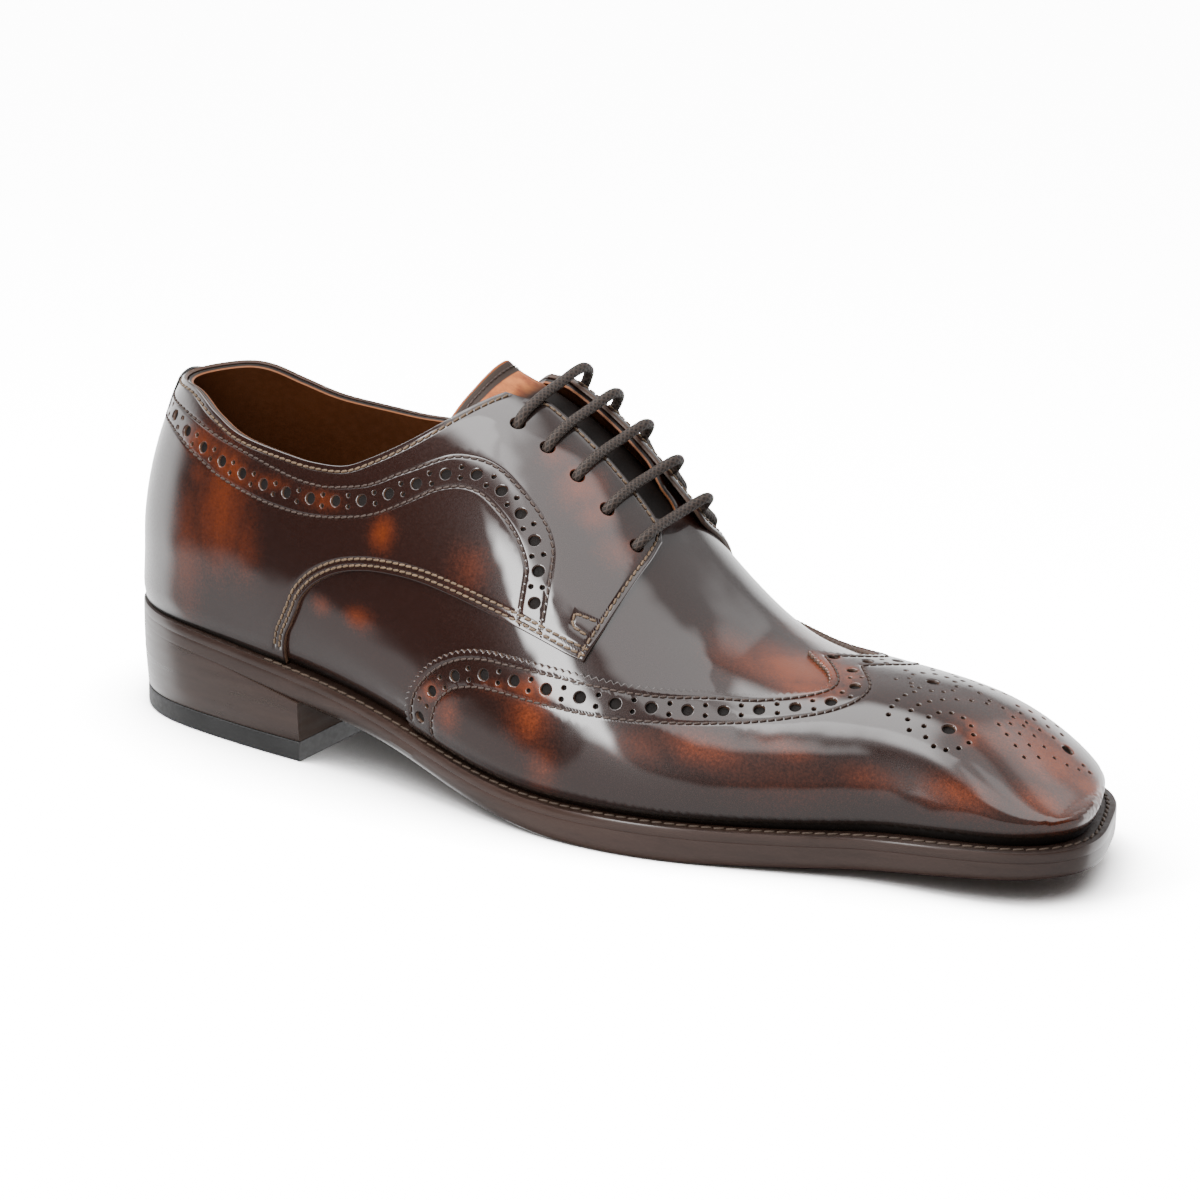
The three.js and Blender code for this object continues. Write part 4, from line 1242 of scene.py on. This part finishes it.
# Thread
def capsule(length, radius, flatten=0.8):
    """Points and faces of one stitch lying along X."""
    rings = []
    half = length / 2
    for x, r in ((-half, 0.35), (-half * 0.86, 0.8), (-half * 0.4, 1), (half * 0.4, 1),
                 (half * 0.86, 0.8), (half, 0.35)):
        turn = 2 * np.pi * np.arange(7) / 7
        rings.append(np.stack([np.full(7, x), radius * r * np.cos(turn),
                               flatten * radius * r * np.sin(turn)], -1))
    points = np.vstack(rings)
    faces = [(j * 7 + i, j * 7 + (i + 1) % 7, (j + 1) * 7 + (i + 1) % 7, (j + 1) * 7 + i)
             for j in range(5) for i in range(7)]
    faces += [tuple(range(6, -1, -1)), tuple(range(35, 42))]
    return points, faces


def copies(shape, base, ahead, side, up):
    """Points and faces of a small shape set at places, each with its own axes."""
    points, faces = shape
    made = (base[:, None] + points[None, :, :1] * ahead[:, None]
            + points[None, :, 1:2] * side[:, None] + points[None, :, 2:] * up[:, None])
    return made.reshape(-1, 3), [tuple(n * len(points) + i for i in face)
                                 for n in range(len(base)) for face in faces]


def stitched(name, rows, pitch, radius, height, material, slot, lift_of):
    """Rows of stitches as one mesh, each stitch turned a little."""
    axes = []
    for line in rows:
        ends = spaced(line, pitch)
        middle = (ends[1:] + ends[:-1]) / 2
        place, normal, dx, dy = lay(middle)
        ahead = on_form(ends[1:] - ends[:-1], dx, dy)
        ahead = unit(ahead + STITCH_SKEW * np.cross(normal, ahead))
        base = place + normal * (height + lift_of(middle, place)[:, None])
        axes.append(np.hstack([base, ahead, np.cross(normal, ahead), normal]))
    points, faces = copies(capsule(pitch * STITCH_FILL, radius), *np.hsplit(np.vstack(axes), 4))
    return ready(new_object(name, points, faces, [material]), slot)


class SHOE_OT_stitching(bpy.types.Operator):
    """Stitch rows of the upper"""
    bl_idname = "shoe.stitching"
    bl_label = "Stitching"

    def execute(self, context):
        sizes = context.scene.shoe_sizes
        m = materials()
        dark, tan = [], []
        for side in (-1, 1):
            rows = quarter_rows(side)
            dark += rows[:2]
            tan += rows[2:]
            for rows_of in (WING_TOP[1:], WING_LOW[1:]):
                dark.append(line_of(rows_of, side))
        high = sizes.leather - 0.02
        stitched("band_stitching", dark, sizes.stitch_pitch, 0.33, high, m["thread"],
                 "upper_leather", facing_rise)
        stitched("seam_stitching", tan, sizes.stitch_pitch, 0.36, high, m["tan thread"],
                 "upper_leather", facing_rise)
        return {"FINISHED"}


# Bottom
def ring_at(k, grow, height):
    """The last's outline at the welt, grown along each heading, at a height."""
    row = station(k)
    heading = np.radians(row[:, 2])
    x = row[:, 0] + row[:, 3] * np.cos(heading)
    y = row[:, 1] + row[:, 3] * np.sin(heading)
    size = grow(x)
    x, y = x + size * np.cos(heading), y + size * np.sin(heading)
    return np.stack([x, y, height(x)], -1)


def lofted(name, node, slot, rings, finishes, used, cap=0, closed=True):
    """Rings of points joined into a body, smooth but for its edges.

    used numbers the finish of each band between two rings, cap that of the two ends, which
    rungs across close.
    """
    count = len(rings[0])
    faces, slots = [], []
    for j, number in enumerate(used):
        for i in range(count):
            n = (i + 1) % count
            faces.append((j * count + i, j * count + n, (j + 1) * count + n, (j + 1) * count + i))
            slots.append(number)
    for end, order in ((0, -1), (len(rings) - 1, 1)) if closed else ():
        for i in range(count // 2):
            quad = (i, i + 1, count - 1 - i, (count - i) % count)[::order]
            quad = list(dict.fromkeys(end * count + q for q in quad))
            if len(quad) > 2:
                faces.append(quad)
                slots.append(cap)
    made = new_object(name, np.vstack(rings), faces, finishes, slots)
    bpy.ops.object.select_all(action="DESELECT")
    made.select_set(True)
    bpy.context.view_layer.objects.active = made
    bpy.ops.object.shade_smooth_by_angle(angle=math.radians(35))
    return ready(made, slot, node)


class SHOE_OT_bottom(bpy.types.Operator):
    """Outsole, welt, heel and insole"""
    bl_idname = "shoe.bottom"
    bl_label = "Bottom"

    def execute(self, context):
        m = materials()
        k = np.linspace(0, TURN, 480, endpoint=False)
        grown = lambda inset: (lambda x: welt_reach(x) - inset)
        top = lambda x: welt_top(x) - WELT_THICK - 0.05
        # The lower edge is rounded in front of the heel and square over it.
        open_edge = lambda x: np.clip((x - HEEL_LENGTH + 2) / 8, 0.04, 1)
        # Shares of the waist's bevel and of the rounding, height, share up to the top
        rings = [ring_at(k, lambda x: welt_reach(x) - bevel * waist_bevel(x) - soft * open_edge(x),
                         lambda x: sole_under(x) + high + share * (top(x) - sole_under(x) - 1.2))
                 for bevel, soft, high, share in (
                     (1, 1.2, 0, 0), (0.75, 0.45, 0.18, 0), (0.5, 0.1, 0.8, 0),
                     (0.25, 0, 0.8, 0.3), (0, 0, 0.8, 0.62), (0, 0, 0.8, 0.97))]
        rings.append(ring_at(k, grown(0.06), top))
        lofted("outsole_leather", "outsole", "sole_leather", rings,
               [m["sole edge"], m["sole leather"]], [0] * 6, cap=1)
        low = lambda x: welt_top(x) - WELT_THICK
        inner = lambda x: -7.0
        rings = [ring_at(k, grow, height) for grow, height in (
            (grown(0.06), low), (welt_reach, lambda x: low(x) + 0.2),
            (welt_reach, lambda x: welt_top(x) - 0.7),
            (grown(0.25), lambda x: welt_top(x) - 0.18), (grown(0.7), welt_top),
            (inner, welt_top), (inner, low), (grown(0.06), low))]
        lofted("welt_leather", "welt", "welt_leather", rings, [m["sole edge"], m["welt"]],
               [0, 0, 0, 1, 1, 1, 1], closed=False)
        self.heel(m)
        rings = [ring_at(k, lambda x: -(WALL + 0.6) - inset, lambda x: welt_top(x) + GAP + high)
                 for high, inset in ((0, 0), (2.3, 0), (2.5, 0.3))]
        lofted("insole_leather", "insole", "insole_leather", rings, [m["insole"]], [0, 0])
        self.thread(context, m)
        return {"FINISHED"}

    def heel(self, m):
        """Heel stack and top lift, cut straight at the breast."""
        k = np.linspace(0, 6, 4000)
        lateral, medial = (
            np.interp(HEEL_LENGTH, ring_at(side, welt_reach, welt_top)[:, 0], k)
            for side in (k, TURN - k))
        around = np.concatenate([np.linspace(0, lateral, 90),
                                 -np.linspace(medial, 0, 90)[:-1]]) % TURN

        def block(levels):
            rings = []
            for inset, height in levels:
                ring = ring_at(around, lambda x: welt_reach(x) - inset, height)
                ring[:, 0] = np.minimum(ring[:, 0], HEEL_LENGTH)
                rings.append(ring)
            return rings

        under = lambda x: welt_top(x) - edge_thick(x) - 0.02
        share = lambda s: (lambda x: LIFT_THICK + 0.15 + s * (under(x) - LIFT_THICK - 0.15))
        rings = block([(1.3, share(0)), (1.0, share(0.03)), (0.6, share(0.3)),
                       (0.2, share(0.6)), (0, share(0.97)), (0.05, share(1))])
        made = lofted("heel_stack_leather", "heel_stack", "heel_leather", rings,
                      [m["heel leather"], m["breast"]], [0] * 5)
        for face in made.data.polygons:
            if face.normal.x > 0.95:
                face.material_index = 1
        level = lambda z: (lambda x: np.full(np.shape(x), z))
        rings = block([(1.6, level(0)), (1.15, level(0.15)), (1.0, level(0.7)),
                       (1.0, level(LIFT_THICK - 0.25)), (1.2, level(LIFT_THICK))])
        lofted("top_lift_rubber", "top_lift", "heel_rubber", rings, [m["rubber"]], [0] * 4)

    def thread(self, context, m):
        """Stitches of the welt, from the heel's breast round the toe."""
        pitch = context.scene.shoe_sizes.welt_pitch
        line = ring_at(np.linspace(4.1, TURN - 4.1, 2000), lambda x: welt_reach(x) * 0.6, welt_top)
        run = run_along(line)
        ends = picked(line, run, np.arange(0, run[-1], pitch))
        ahead = unit(ends[1:] - ends[:-1])
        up = np.tile([0, 0, 1.0], (len(ahead), 1))
        ahead = unit(ahead + WELT_SKEW * unit(np.cross(up, ahead)))
        base = (ends[1:] + ends[:-1]) / 2 + up * 0.12
        points, faces = copies(capsule(pitch * STITCH_FILL, 0.46, 0.7), base, ahead,
                               np.cross(up, ahead), up)
        made = new_object("welt_stitching", points, faces, [m["welt thread"]])
        ready(made, "welt_leather")


class SHOE_OT_tongue(bpy.types.Operator):
    """Tongue with its bound top edge"""
    bl_idname = "shoe.tongue"
    bl_label = "Tongue"

    def execute(self, context):
        sizes = context.scene.shoe_sizes
        m = materials()
        loop = self.edge()

        def flare(q, place):
            rise = ease((unfold(q)[1] - 0.82) / 0.18)
            fall = ease((place[:, 0] - TONGUE_TOP) / (120 - TONGUE_TOP))
            return TONGUE_FLARE * rise * (1 - fall)

        # Painted shade: 1 up to 119 mm, 0 from 129 mm on, where the tongue lies in the throat and
        # is painted near black.
        def glow(place):
            return np.clip((129 - place[:, 0]) / 10, 0, 1)

        band = loop[loop[:, 0] < loop[:, 0].min() + 30]
        row = shift(loop, 2.6, closed=True)[np.isin(loop[:, 0], band[:, 0])]
        start = np.argmax(np.hypot(*np.diff(np.vstack([row[-1:], row]), axis=0).T))
        row = np.roll(row, -start, 0)
        made = cut_sheet("tongue_leather", loop, [], [row], sizes.pitch, -2.35, -4.4,
                         [m["tongue"], m["binding"], m["flesh side"], m["pit"]], 0.5, 0.2,
                         lift_of=flare, burnish_and_shade_of=glow)
        stitched("tongue_stitching", [row], sizes.stitch_pitch, 0.27, -2.37, m["thread"],
                 "tongue_leather", flare)
        ready(made, "tongue_leather", "tongue")
        return {"FINISHED"}

    def edge(self):
        """The tongue's outline on the flat pattern."""
        rows = smooth([(at * LAST_LENGTH, share) for at, share in TONGUE])
        sides = []
        for side in (-1, 1):
            line = []
            for x, share in rows[rows[:, 0] > TONGUE_TOP + 7]:
                k = np.interp(x, SPINE[:HALF, 0], K_GRID[:HALF])
                row = station(np.array([k if side < 0 else TURN - k]))[0]
                line.append((x, row[1] + side * share * (row[3] + row[4])))
            sides.append(np.array(line))
        y = np.linspace(sides[0][-1, 1] + 1.5, sides[1][-1, 1] - 1.5, 30)
        top = np.stack([TONGUE_TOP + 5 - 0.0036 * np.minimum(y, 15) ** 2, y], -1)
        ring = np.vstack([top, sides[1][::-1], sides[0]])
        loop = plan(ring[:, 0], ring[:, 1])
        loop = spaced(np.vstack([loop, loop[:1]]), 1.1)[:-1]
        return loop if np.sum(np.cross(loop, np.roll(loop, -1, 0))) > 0 else loop[::-1]


class SHOE_OT_back_strap(bpy.types.Operator):
    """Narrow strap over the back seam"""
    bl_idname = "shoe.back_strap"
    bl_label = "Back strap"

    def execute(self, context):
        sizes = context.scene.shoe_sizes
        m = materials()
        top = topline(-1)[0]
        start = unfold(top[None])[1][0]
        seam = flat(np.zeros(80), np.linspace(start, -0.9, 80))
        point = np.interp(STRAP_LENGTH, run_along(skin(seam)), np.arange(80))
        middle = seam[:int(point) + 1]
        body = middle[:-max(len(middle) // 6, 1)]
        left, right = shift(body, STRAP_HALF), shift(body, -STRAP_HALF)
        ring = np.vstack([left, middle[-1:], right[::-1]])
        loop = spaced(np.vstack([ring, ring[:1]]), 0.9)[:-1]
        if np.sum(np.cross(loop, np.roll(loop, -1, 0))) < 0:
            loop = loop[::-1]
        made = cut_sheet("back_strap_leather", loop, [], [], sizes.pitch, 2.5, 1.42,
                         [m["strap"], m["strap"], m["flesh side"]], 0.3)
        ready(made, "strap_leather", "back_strap")
        return {"FINISHED"}


def tube(path, radius, sides=14):
    """Points, faces and UV of a round cord along a path; the UV runs round and along it."""
    way = unit(tangents(path))
    side = np.zeros_like(path)
    side[0] = unit(np.cross(way[0], (0.3, 0.1, 1)))
    for i in range(1, len(path)):
        side[i] = unit(side[i - 1] - way[i] * (side[i - 1] @ way[i]))
    other = np.cross(way, side)
    turn = 2 * np.pi * np.arange(sides + 1) / sides
    ring = (np.cos(turn)[None, :, None] * side[:, None] + np.sin(turn)[None, :, None]
            * other[:, None])
    points = path[:, None] + radius * ring
    uv = np.stack(np.meshgrid(turn / (2 * np.pi), run_along(path) / (2 * np.pi * radius)), -1)
    n = sides + 1
    faces = [(j * n + i, j * n + i + 1, (j + 1) * n + i + 1, (j + 1) * n + i)
             for j in range(len(path) - 1) for i in range(sides)]
    last = (len(path) - 1) * n
    faces += [tuple(range(sides))[::-1], tuple(range(last, last + sides))]
    return points.reshape(-1, 3), faces, uv.reshape(-1, 2)


class SHOE_OT_laces(bpy.types.Operator):
    """Lace through the eyelets"""
    bl_idname = "shoe.laces"
    bl_label = "Laces"

    def execute(self, context):
        sizes = context.scene.shoe_sizes
        m = materials()
        near_side, far_side = eyelets(-1), eyelets(1)
        shape = ((0, -3.6), (0, 0.2), (0.035, 2.2), (0.1, 3.0), (0.22, 3.2), (0.35, 3.6),
                 (0.47, 4.6), (0.57, 6.4), (0.64, 7.9), (0.7, 7.6), (0.735, 5.4), (0.76, 3.2),
                 (0.84, 2.4), (0.95, 2.2), (0.99, 1.4), (1, 0), (1, -3.6))
        points, faces, uvs, start = [], [], [], 0
        for a, b in zip(near_side, far_side):
            rows = np.array([(*(a + (b - a) * share), height) for share, height in shape])
            place, normal, _, _ = lay(rows[:, :2])
            path = smooth(place + normal * rows[:, 2:], 9)
            p, f, uv = tube(path, sizes.lace / 2)
            points.append(p)
            faces += [tuple(start + i for i in quad) for quad in f]
            uvs.append(uv)
            start += len(p)
        made = new_object("lace_cord", np.vstack(points), faces, [m["lace"]], uv=np.vstack(uvs))
        ready(made, "lace_cord", *[f"lace_bar_{n}" for n in range(1, 6)])
        return {"FINISHED"}


# The photograph's camera: degrees round from the side, up and rolled; distance in metres
CAMERA_ROUND, CAMERA_UP, CAMERA_ROLL = 31, 18, 1
CAMERA_AWAY = 1.2
CAMERA_LENS = 129.6
CAMERA_TARGET = (152, 0, 52)

# Softbox beside the shoe: degrees round from the toe and up, place it looks at, distance
SOFTBOX_ROUND, SOFTBOX_UP = -88, 31
SOFTBOX_TARGET = (135, -45, 45)
SOFTBOX_AWAY = 0.22

# Soft panels of the studio: middle azimuth, half width, low, high, softness in degrees,
# brightness
PANELS = (
    (-70, 30, 12, 50, 9, 0.24),
    (-172, 20, 36, 64, 7, 7.0),
    (-180, 16, -30, 40, 7, 1.1),
    (120, 80, -35, 18, 10, 2.6),
    (95, 75, 20, 62, 14, 0.62),
    (80, 13, 28, 52, 7, 1.25),
    (-15, 76, 49, 84, 5, 2.0),
    (0, 360, 62, 140, 7, 1.0),
    (-125, 26, 66, 140, 6, 3.0),
)


def bearing(tree, x, y, middle):
    """Degrees round from a middle azimuth, to either side."""
    c, s = math.cos(math.radians(middle)), math.sin(math.radians(middle))
    ahead = maths(tree, "ADD", maths(tree, "MULTIPLY", x, c), maths(tree, "MULTIPLY", y, s))
    aside = maths(tree, "SUBTRACT", maths(tree, "MULTIPLY", y, c), maths(tree, "MULTIPLY", x, s))
    return maths(tree, "DEGREES", maths(tree, "ARCTAN2", aside, ahead))


class SHOE_OT_stage(bpy.types.Operator):
    """Floor, studio lights and the photograph's camera"""
    bl_idname = "shoe.stage"
    bl_label = "Stage"

    def execute(self, context):
        studio = context.scene.shoe_studio
        bpy.ops.object.select_all(action="DESELECT")
        bpy.ops.mesh.primitive_plane_add(size=30, location=(0, 0, -0.0002))
        floor = context.active_object
        floor.name = "studio_floor"
        floor.data.materials.append(self.paper(studio))
        floor.visible_glossy = False
        self.camera(context)
        self.light(context, studio)
        return {"FINISHED"}

    def paper(self, studio):
        """Bright white paper, shaded a little deeper under the shoe."""
        material = bpy.data.materials.new("studio paper")
        material.use_nodes = True
        tree = material.node_tree
        tree.nodes.clear()
        seen = put(tree, "ShaderNodeLightPath").outputs["Is Camera Ray"]
        open_sky = put(tree, "ShaderNodeAmbientOcclusion", {"Distance": 0.2},
                       samples=16).outputs["AO"]
        open_sky = maths(tree, "POWER", mapped(tree, open_sky, 0.05, 0.98, 0.15, 1.0), 1.8)
        white = maths(tree, "MULTIPLY", open_sky, studio.floor)
        shade = put(tree, "ShaderNodeMix", {0: seen, 2: studio.floor_bounce, 3: white},
                    data_type="FLOAT").outputs[0]
        face = put(tree, "ShaderNodeBsdfDiffuse", {"Color": shade})
        out = put(tree, "ShaderNodeOutputMaterial")
        tree.links.new(face.outputs[0], out.inputs[0])
        return material

    def camera(self, context):
        """The photograph's view, from the toe side and a little above."""
        az, el, roll = map(math.radians, (CAMERA_ROUND, CAMERA_UP, CAMERA_ROLL))
        target = Vector(set_down(CAMERA_TARGET))
        back = Vector((math.sin(az) * math.cos(el), -math.cos(az) * math.cos(el), math.sin(el)))
        bpy.ops.object.camera_add(location=target + back * CAMERA_AWAY)
        cam = context.active_object
        cam.name = "photo_camera"
        right = Vector((math.cos(az), math.sin(az), 0))
        up = back.cross(right)
        right = right * math.cos(roll) + up * math.sin(roll)
        cam.rotation_mode = "QUATERNION"
        axes = Matrix((right, back.cross(right), back)).transposed()
        cam.rotation_quaternion = axes.to_quaternion()
        cam.data.lens = CAMERA_LENS
        cam.data.sensor_width = 36
        cam.data.clip_start, cam.data.clip_end = 0.01, 60
        context.scene.camera = cam

    def light(self, context, studio):
        """Soft panels round the shoe, with dark surroundings between them."""
        world = bpy.data.worlds.new("studio")
        context.scene.world = world
        world.use_nodes = True
        tree = world.node_tree
        tree.nodes.clear()
        way = put(tree, "ShaderNodeTexCoord").outputs["Generated"]
        x, y, z = put(tree, "ShaderNodeSeparateXYZ", {0: way}).outputs
        rise = maths(tree, "DEGREES", maths(tree, "ARCSINE", z))
        limit = mapped(tree, bearing(tree, x, y, -105), -9, 9, -12, 10)
        paper = mapped(tree, maths(tree, "SUBTRACT", rise, limit), -3, 3, studio.sweep, 0.0)
        paper = maths(tree, "MULTIPLY", paper, mapped(tree, rise, -56, -32, 0.12, 1.0))
        total = maths(tree, "ADD", paper, studio.dark)
        for middle, half, low, high, soft, bright in PANELS:
            turn = maths(tree, "ABSOLUTE", bearing(tree, x, y, middle))
            wide = mapped(tree, turn, half - soft, half + soft, 1.0, 0.0)
            tall = maths(tree, "MULTIPLY", mapped(tree, rise, low - soft, low + soft),
                         mapped(tree, rise, high - soft, high + soft, 1.0, 0.0))
            glow = maths(tree, "MULTIPLY", maths(tree, "MULTIPLY", wide, tall), bright)
            total = maths(tree, "MAXIMUM", total, glow)
        seen = put(tree, "ShaderNodeLightPath").outputs["Is Camera Ray"]
        strength = put(tree, "ShaderNodeMix", {0: seen, 2: total, 3: studio.backdrop},
                       data_type="FLOAT").outputs[0]
        sky = put(tree, "ShaderNodeBackground", {"Strength": strength})
        sky.inputs["Color"].default_value = (1, 1, 1, 1)
        out = put(tree, "ShaderNodeOutputWorld")
        tree.links.new(sky.outputs[0], out.inputs[0])
        self.softbox("overhead_panel", (-0.12, 0, 0.6), (0, 0, 1), (0.4, 0.62), studio.overhead)
        az, el = math.radians(SOFTBOX_ROUND), math.radians(SOFTBOX_UP)
        away = Vector((math.cos(az) * math.cos(el), math.sin(az) * math.cos(el), math.sin(el)))
        spot = Vector(set_down(SOFTBOX_TARGET))
        self.softbox("side_softbox", spot + away * SOFTBOX_AWAY, away, (0.11, 0.24), studio.side)

    def softbox(self, name, place, away, size, watts):
        """A lamp whose brightness falls off softly towards its edges."""
        bpy.ops.object.light_add(type="AREA", location=place)
        made = bpy.context.active_object
        made.name = name
        made.rotation_euler = Vector(away).to_track_quat("Z", "Y").to_euler()
        made.visible_camera = False
        lamp = made.data
        lamp.shape = "RECTANGLE"
        lamp.size, lamp.size_y = size
        lamp.energy = watts
        lamp.use_nodes = True
        tree = lamp.node_tree
        where = put(tree, "ShaderNodeNewGeometry").outputs["Parametric"]
        across, along, _ = put(tree, "ShaderNodeSeparateXYZ", {0: where}).outputs
        fade = 1.0
        for share in (across, along):
            edge = maths(tree, "SUBTRACT", 0.5, maths(tree, "ABSOLUTE",
                                                      maths(tree, "SUBTRACT", share, 0.5)))
            fade = maths(tree, "MULTIPLY", fade, mapped(tree, edge, 0.0, 0.22))
        tree.links.new(fade, tree.nodes["Emission"].inputs["Strength"])


class SHOE_PT_panel(bpy.types.Panel):
    """Lists the shoe's pieces and settings"""
    bl_label = "Shoe"
    bl_idname = "SHOE_PT_panel"
    bl_space_type = "VIEW_3D"
    bl_region_type = "UI"
    bl_category = "Shoe"

    def draw(self, context):
        for operator in OPERATORS:
            self.layout.operator(operator.bl_idname)
        for settings in (context.scene.shoe_sizes, context.scene.shoe_colours,
                         context.scene.shoe_studio):
            box = self.layout.box()
            for key in settings.__annotations__:
                box.prop(settings, key)


OPERATORS = (SHOE_OT_upper, SHOE_OT_quarters, SHOE_OT_wing_cap, SHOE_OT_back_strap,
             SHOE_OT_tongue, SHOE_OT_stitching, SHOE_OT_laces, SHOE_OT_bottom, SHOE_OT_stage)
SETTINGS = {"shoe_sizes": ShoeSizes, "shoe_colours": ShoeColours, "shoe_studio": StudioSettings}


def register():
    for made in (*SETTINGS.values(), *OPERATORS, SHOE_PT_panel):
        bpy.utils.register_class(made)
    for key, kind in SETTINGS.items():
        setattr(bpy.types.Scene, key, bpy.props.PointerProperty(type=kind))


def unregister():
    for key in SETTINGS:
        delattr(bpy.types.Scene, key)
    for made in (*SETTINGS.values(), *OPERATORS, SHOE_PT_panel):
        bpy.utils.unregister_class(made)


def main():
    register()
    bpy.ops.shoe.upper()
    bpy.ops.shoe.quarters()
    bpy.ops.shoe.wing_cap()
    bpy.ops.shoe.back_strap()
    bpy.ops.shoe.tongue()
    bpy.ops.shoe.stitching()
    bpy.ops.shoe.laces()
    bpy.ops.shoe.bottom()
    bpy.ops.shoe.stage()


if __name__ == "__main__":
    main()
